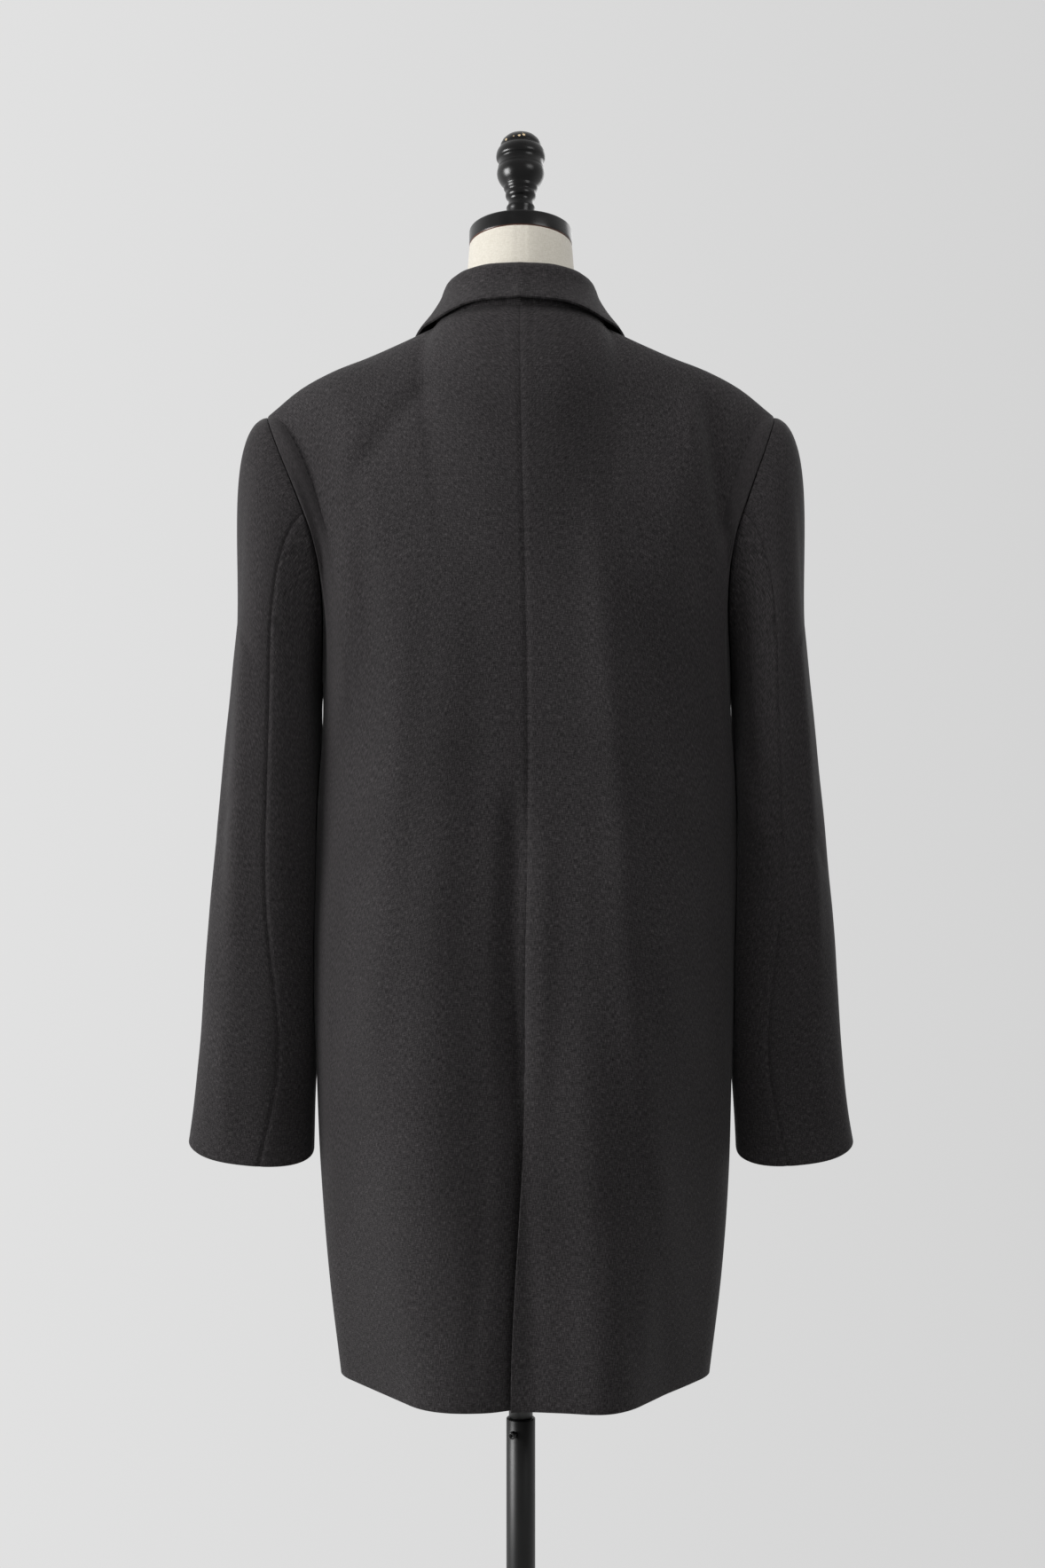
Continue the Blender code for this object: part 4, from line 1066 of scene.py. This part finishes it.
# Neck cap and finial
# Turned from hardwood and finished in black lacquer: a flat cap over the neck's raw edge and a finial to
# lift the form by. The lacquer is worn to brown at the cap's lower rim and chipped to bare wood on top.
CAP_H = 14.5
CAP_CENTRE = Vector((0, 2, 1480))
FINIAL_OFF = 0.3  # above the cap
CAP_PROFILE = (
    (0, 0.0), (44.2, 0.0), (44.9, 0.3), (45.2, 1.1), (45.25, 3.0), (45.2, 12.6), (44.9, 13.7),
    (44.1, 14.4), (0, 14.5),
)
FINIAL_PROFILE = (
    (0, 0.0), (15.2, 0.0), (15.5, 0.5), (15.5, 2.2), (14.6, 3.2), (12.6, 5.6), (11.6, 9.5), (11.4, 14.0),
    (12.0, 18.5), (12.7, 20.4), (12.6, 21.6), (11.6, 23.0), (10.9, 25.2), (10.8, 27.6), (11.6, 29.4),
    (12.8, 30.4), (13.4, 31.8), (13.5, 34.0), (12.9, 35.4), (13.0, 36.4), (14.2, 37.6), (15.0, 39.0),
    (14.9, 40.6), (15.4, 41.6), (17.6, 44.2), (19.6, 47.4), (20.8, 50.6), (21.1, 53.2), (20.9, 55.6),
    (20.3, 57.8), (19.9, 58.6), (20.1, 59.4), (19.9, 60.2), (19.6, 61.5), (19.5, 63.6), (19.6, 65.2),
    (19.9, 65.9), (20.9, 66.4), (21.6, 67.4), (21.8, 69.6), (21.4, 72.6), (20.4, 75.2), (19.0, 77.0),
    (18.2, 77.6), (17.9, 78.4), (18.1, 79.2), (17.8, 81.0), (16.2, 84.2), (12.8, 87.6), (7.0, 90.6),
    (3.0, 91.6), (0, 91.8),
)

lacquer, graph, shader = new_material("black_lacquer", ("IOR", 1.5))
place = add(graph, "ShaderNodeTexCoord").outputs["Object"]
brush = add(graph, "ShaderNodeTexNoise", [("Vector", place), ("Scale", 60.0), ("Detail", 4.0)]).outputs[0]
black = ramp(graph, brush, (0.3, "#080808"), (0.75, "#131212"))
height = add(graph, "ShaderNodeSeparateXYZ", [(0, place)]).outputs[2]
low_rim = [("Value", height), ("From Min", 0.0013), ("From Max", 0.0002)]
worn_rim = add(graph, "ShaderNodeMapRange", low_rim).outputs[0]
on_cap = add(graph, "ShaderNodeMath", [(0, worn_rim), (1, brush)], operation="MULTIPLY").outputs[0]
worn = add(graph, "ShaderNodeMath", [(0, on_cap), (1, 1.5)], operation="MULTIPLY", use_clamp=True).outputs[0]
coat = add(graph, "ShaderNodeMix", [("Factor", worn)], data_type="RGBA")
graph.links.new(black, coat.inputs[6])
coat.inputs[7].default_value = linear("#6b4334")
# Place of each chip on the finial, and its half width
CHIPS = (
    ((12.9, 12.4, 79.9), 1.2),
    ((6.3, 16.4, 81.2), 0.9),
    ((1.4, 17.3, 81.3), 1.3),
    ((-2.6, 16.9, 82.2), 1.3),
    ((-1.6, 15.4, 84.2), 0.6),
)
CHIP_RAGGED = 2.2  # mm by which a chip's edge wanders in and out
chip_amount = None
for spot, size in CHIPS:
    from_spot = [(0, place), (1, Vector(spot) * MM)]
    far = add(graph, "ShaderNodeVectorMath", from_spot, operation="DISTANCE").outputs[1]
    ragged = [(0, brush), (1, CHIP_RAGGED * MM), (2, far)]
    ragged_far = add(graph, "ShaderNodeMath", ragged, operation="MULTIPLY_ADD").outputs[0]
    limit = [(0, ragged_far), (1, (size + CHIP_RAGGED / 2) * MM)]
    here = add(graph, "ShaderNodeMath", limit, operation="LESS_THAN").outputs[0]
    if chip_amount is not None:
        here = add(graph, "ShaderNodeMath", [(0, here), (1, chip_amount)], operation="MAXIMUM").outputs[0]
    chip_amount = here
bare = add(graph, "ShaderNodeMix", [("Factor", chip_amount)], data_type="RGBA")
graph.links.new(coat.outputs[2], bare.inputs[6])
bare.inputs[7].default_value = linear("#cbb48f")
graph.links.new(bare.outputs[2], shader.inputs["Base Color"])
gloss = add(graph, "ShaderNodeMapRange", [("Value", brush), ("To Min", 0.2), ("To Max", 0.32)]).outputs[0]
graph.links.new(gloss, shader.inputs["Roughness"])


def on_neck(made, height):
    """Sets a turned piece on the tilted top of the neck."""
    made.rotation_euler.x = CAP_TILT
    made.location = (CAP_CENTRE + Vector((0, -math.sin(CAP_TILT), math.cos(CAP_TILT))) * height) * MM
    return made


finished(on_neck(turned("neck_cap_wood", CAP_PROFILE, lacquer, 96), 0), "black_lacquer", "neck_cap")
finial = on_neck(turned("finial_wood", FINIAL_PROFILE, lacquer, 72), CAP_H + FINIAL_OFF)
finished(finial, "black_lacquer", "finial")


# Stand
# A steel tube on a round steel base, with a thinner tube that slides in it and a small screw that locks the
# height. All of it has a satin black powder coat, which is slightly pebbled.
steel, graph, shader = new_material("black_powder_coat")
place = add(graph, "ShaderNodeTexCoord").outputs["Object"]
pebble = add(graph, "ShaderNodeTexNoise", [("Vector", place), ("Scale", 700.0), ("Detail", 2.0)]).outputs[0]
dust = add(graph, "ShaderNodeTexNoise", [("Vector", place), ("Scale", 12.0), ("Detail", 4.0)]).outputs[0]
graph.links.new(ramp(graph, dust, (0.3, "#0a0a0a"), (0.8, "#131313")), shader.inputs["Base Color"])
gloss = add(graph, "ShaderNodeMapRange", [("Value", dust), ("To Min", 0.32), ("To Max", 0.5)]).outputs[0]
graph.links.new(gloss, shader.inputs["Roughness"])
pebbled = [("Strength", 0.12), ("Distance", 0.0002), ("Height", pebble)]
graph.links.new(add(graph, "ShaderNodeBump", pebbled).outputs[0], shader.inputs["Normal"])


def bar(radius, low, high, round_top=0.6):
    """Profile of a plain round bar with its edges eased."""
    return (
        (0, low), (radius - round_top, low), (radius, low + round_top), (radius, high - round_top),
        (radius - round_top, high), (0, high),
    )


BASE_PROFILE = ((0, 0), (174.2, 0), (175, 0.8), (175, 7.6), (174.3, 9.2), (172.8, 10), (0, 10))
SOCKET_PROFILE = (
    (0, 10.3), (23.4, 10.3), (24, 10.9), (24, 44.5), (22.6, 47.2), (20.2, 48), (0, 48),
)
STAND = (
    ("base_disc", "base_plate", BASE_PROFILE),
    ("pole_foot", "pole_socket", SOCKET_PROFILE),
    ("outer_tube", "pole_outer", bar(12.7, 48.3, 451)),
    ("inner_tube", "pole_inner", bar(10.5, 451.3, 759.7)),
)
for name, node, profile in STAND:
    finished(turned(name, profile, steel, 96), "black_steel", node)
SCREW_PROFILE = (
    (0, 0), (2.0, 0), (2.0, 2.6), (3.2, 2.8), (3.2, 6.4), (2.6, 7), (1.2, 7), (1.1, 5.2), (0, 5.2),
)
SCREW_TURN = math.radians(24)  # round the pole, from straight back
SCREW_Z = 440
SCREW_OUT = 13.0
out = Vector((math.sin(SCREW_TURN), math.cos(SCREW_TURN), 0))
screw = turned("lock_screw_head", SCREW_PROFILE, steel, 32)
screw.rotation_euler = out.to_track_quat("Z", "Y").to_euler()
screw.location = (out * SCREW_OUT + Vector((0, 0, SCREW_Z))) * MM
finished(screw, "black_steel", "lock_screw")


# Studio
# A pale room with soft daylight from the camera's left and above. The floor is a small pale disc, and the
# camera stands level behind the jacket, as in the photograph.
camera = new_object("camera", bpy.data.cameras.new("camera"))
camera.data.lens = 50
camera.data.sensor_width = 36
camera.location = (-0.0015, 1.915, 1.008)
camera.rotation_euler = (math.radians(90), 0, math.radians(180))
bpy.context.scene.camera = camera
bpy.context.scene.view_settings.view_transform = "Standard"

world = bpy.data.worlds.new("pale_room")
world.use_nodes = True
room = world.node_tree
direction = add(room, "ShaderNodeTexCoord").outputs["Generated"]
way = add(room, "ShaderNodeSeparateXYZ", [(0, direction)]).outputs
shares = []
for axis, reach in ((0, 0.3), (1, 0.5)):
    limits = [("Value", way[axis]), ("From Min", -reach), ("From Max", reach)]
    shares.append(add(room, "ShaderNodeMapRange", limits).outputs[0])
across, behind = shares
backdrop = ramp(room, across, (0.0, "#d2d2d2"), (0.5, "#dbdbdb"), (1.0, "#e3e3e3"))
walls = add(room, "ShaderNodeMix", [("Factor", behind)], data_type="RGBA")
room.links.new(backdrop, walls.inputs[6])
walls.inputs[7].default_value = linear("#868686")
room.links.new(walls.outputs[2], room.nodes["Background"].inputs[0])
room.nodes["Background"].inputs[1].default_value = 1.0
bpy.context.scene.world = world

for name, place, size, power, shows_in_gloss in (
    ("window", (2.3, 0.8, 1.2), 1.1, 64, True),
    ("sky_panel", (0.0, 0.9, 3.1), 1.5, 30, False),
    ("wall_bounce", (-1.9, 1.9, 2.3), 1.2, 12, True),
    ("front_fill", (-1.2, -2.4, 1.8), 1.8, 14, True),
):
    lamp = new_object(name, bpy.data.lights.new(name, "AREA"))
    lamp.data.size = size
    lamp.data.energy = power
    lamp.location = place
    lamp.visible_glossy = shows_in_gloss
    lamp.rotation_euler = (Vector(place) - Vector((0, 0, 1.0))).to_track_quat("Z", "Y").to_euler()

floor_material, graph, shader = new_material("pale_floor", ("Roughness", 0.8))
place = add(graph, "ShaderNodeTexCoord").outputs["Object"]
mottle = add(graph, "ShaderNodeTexNoise", [("Vector", place), ("Scale", 3.0), ("Detail", 3.0)]).outputs[0]
graph.links.new(ramp(graph, mottle, (0.3, "#d2d2d0"), (0.7, "#dcdcda")), shader.inputs["Base Color"])
bpy.ops.mesh.primitive_circle_add(vertices=128, radius=0.8, fill_type="NGON", location=(0, 0, -0.0006))
floor = bpy.context.object
floor.name = "floor"
floor.data.materials.append(floor_material)
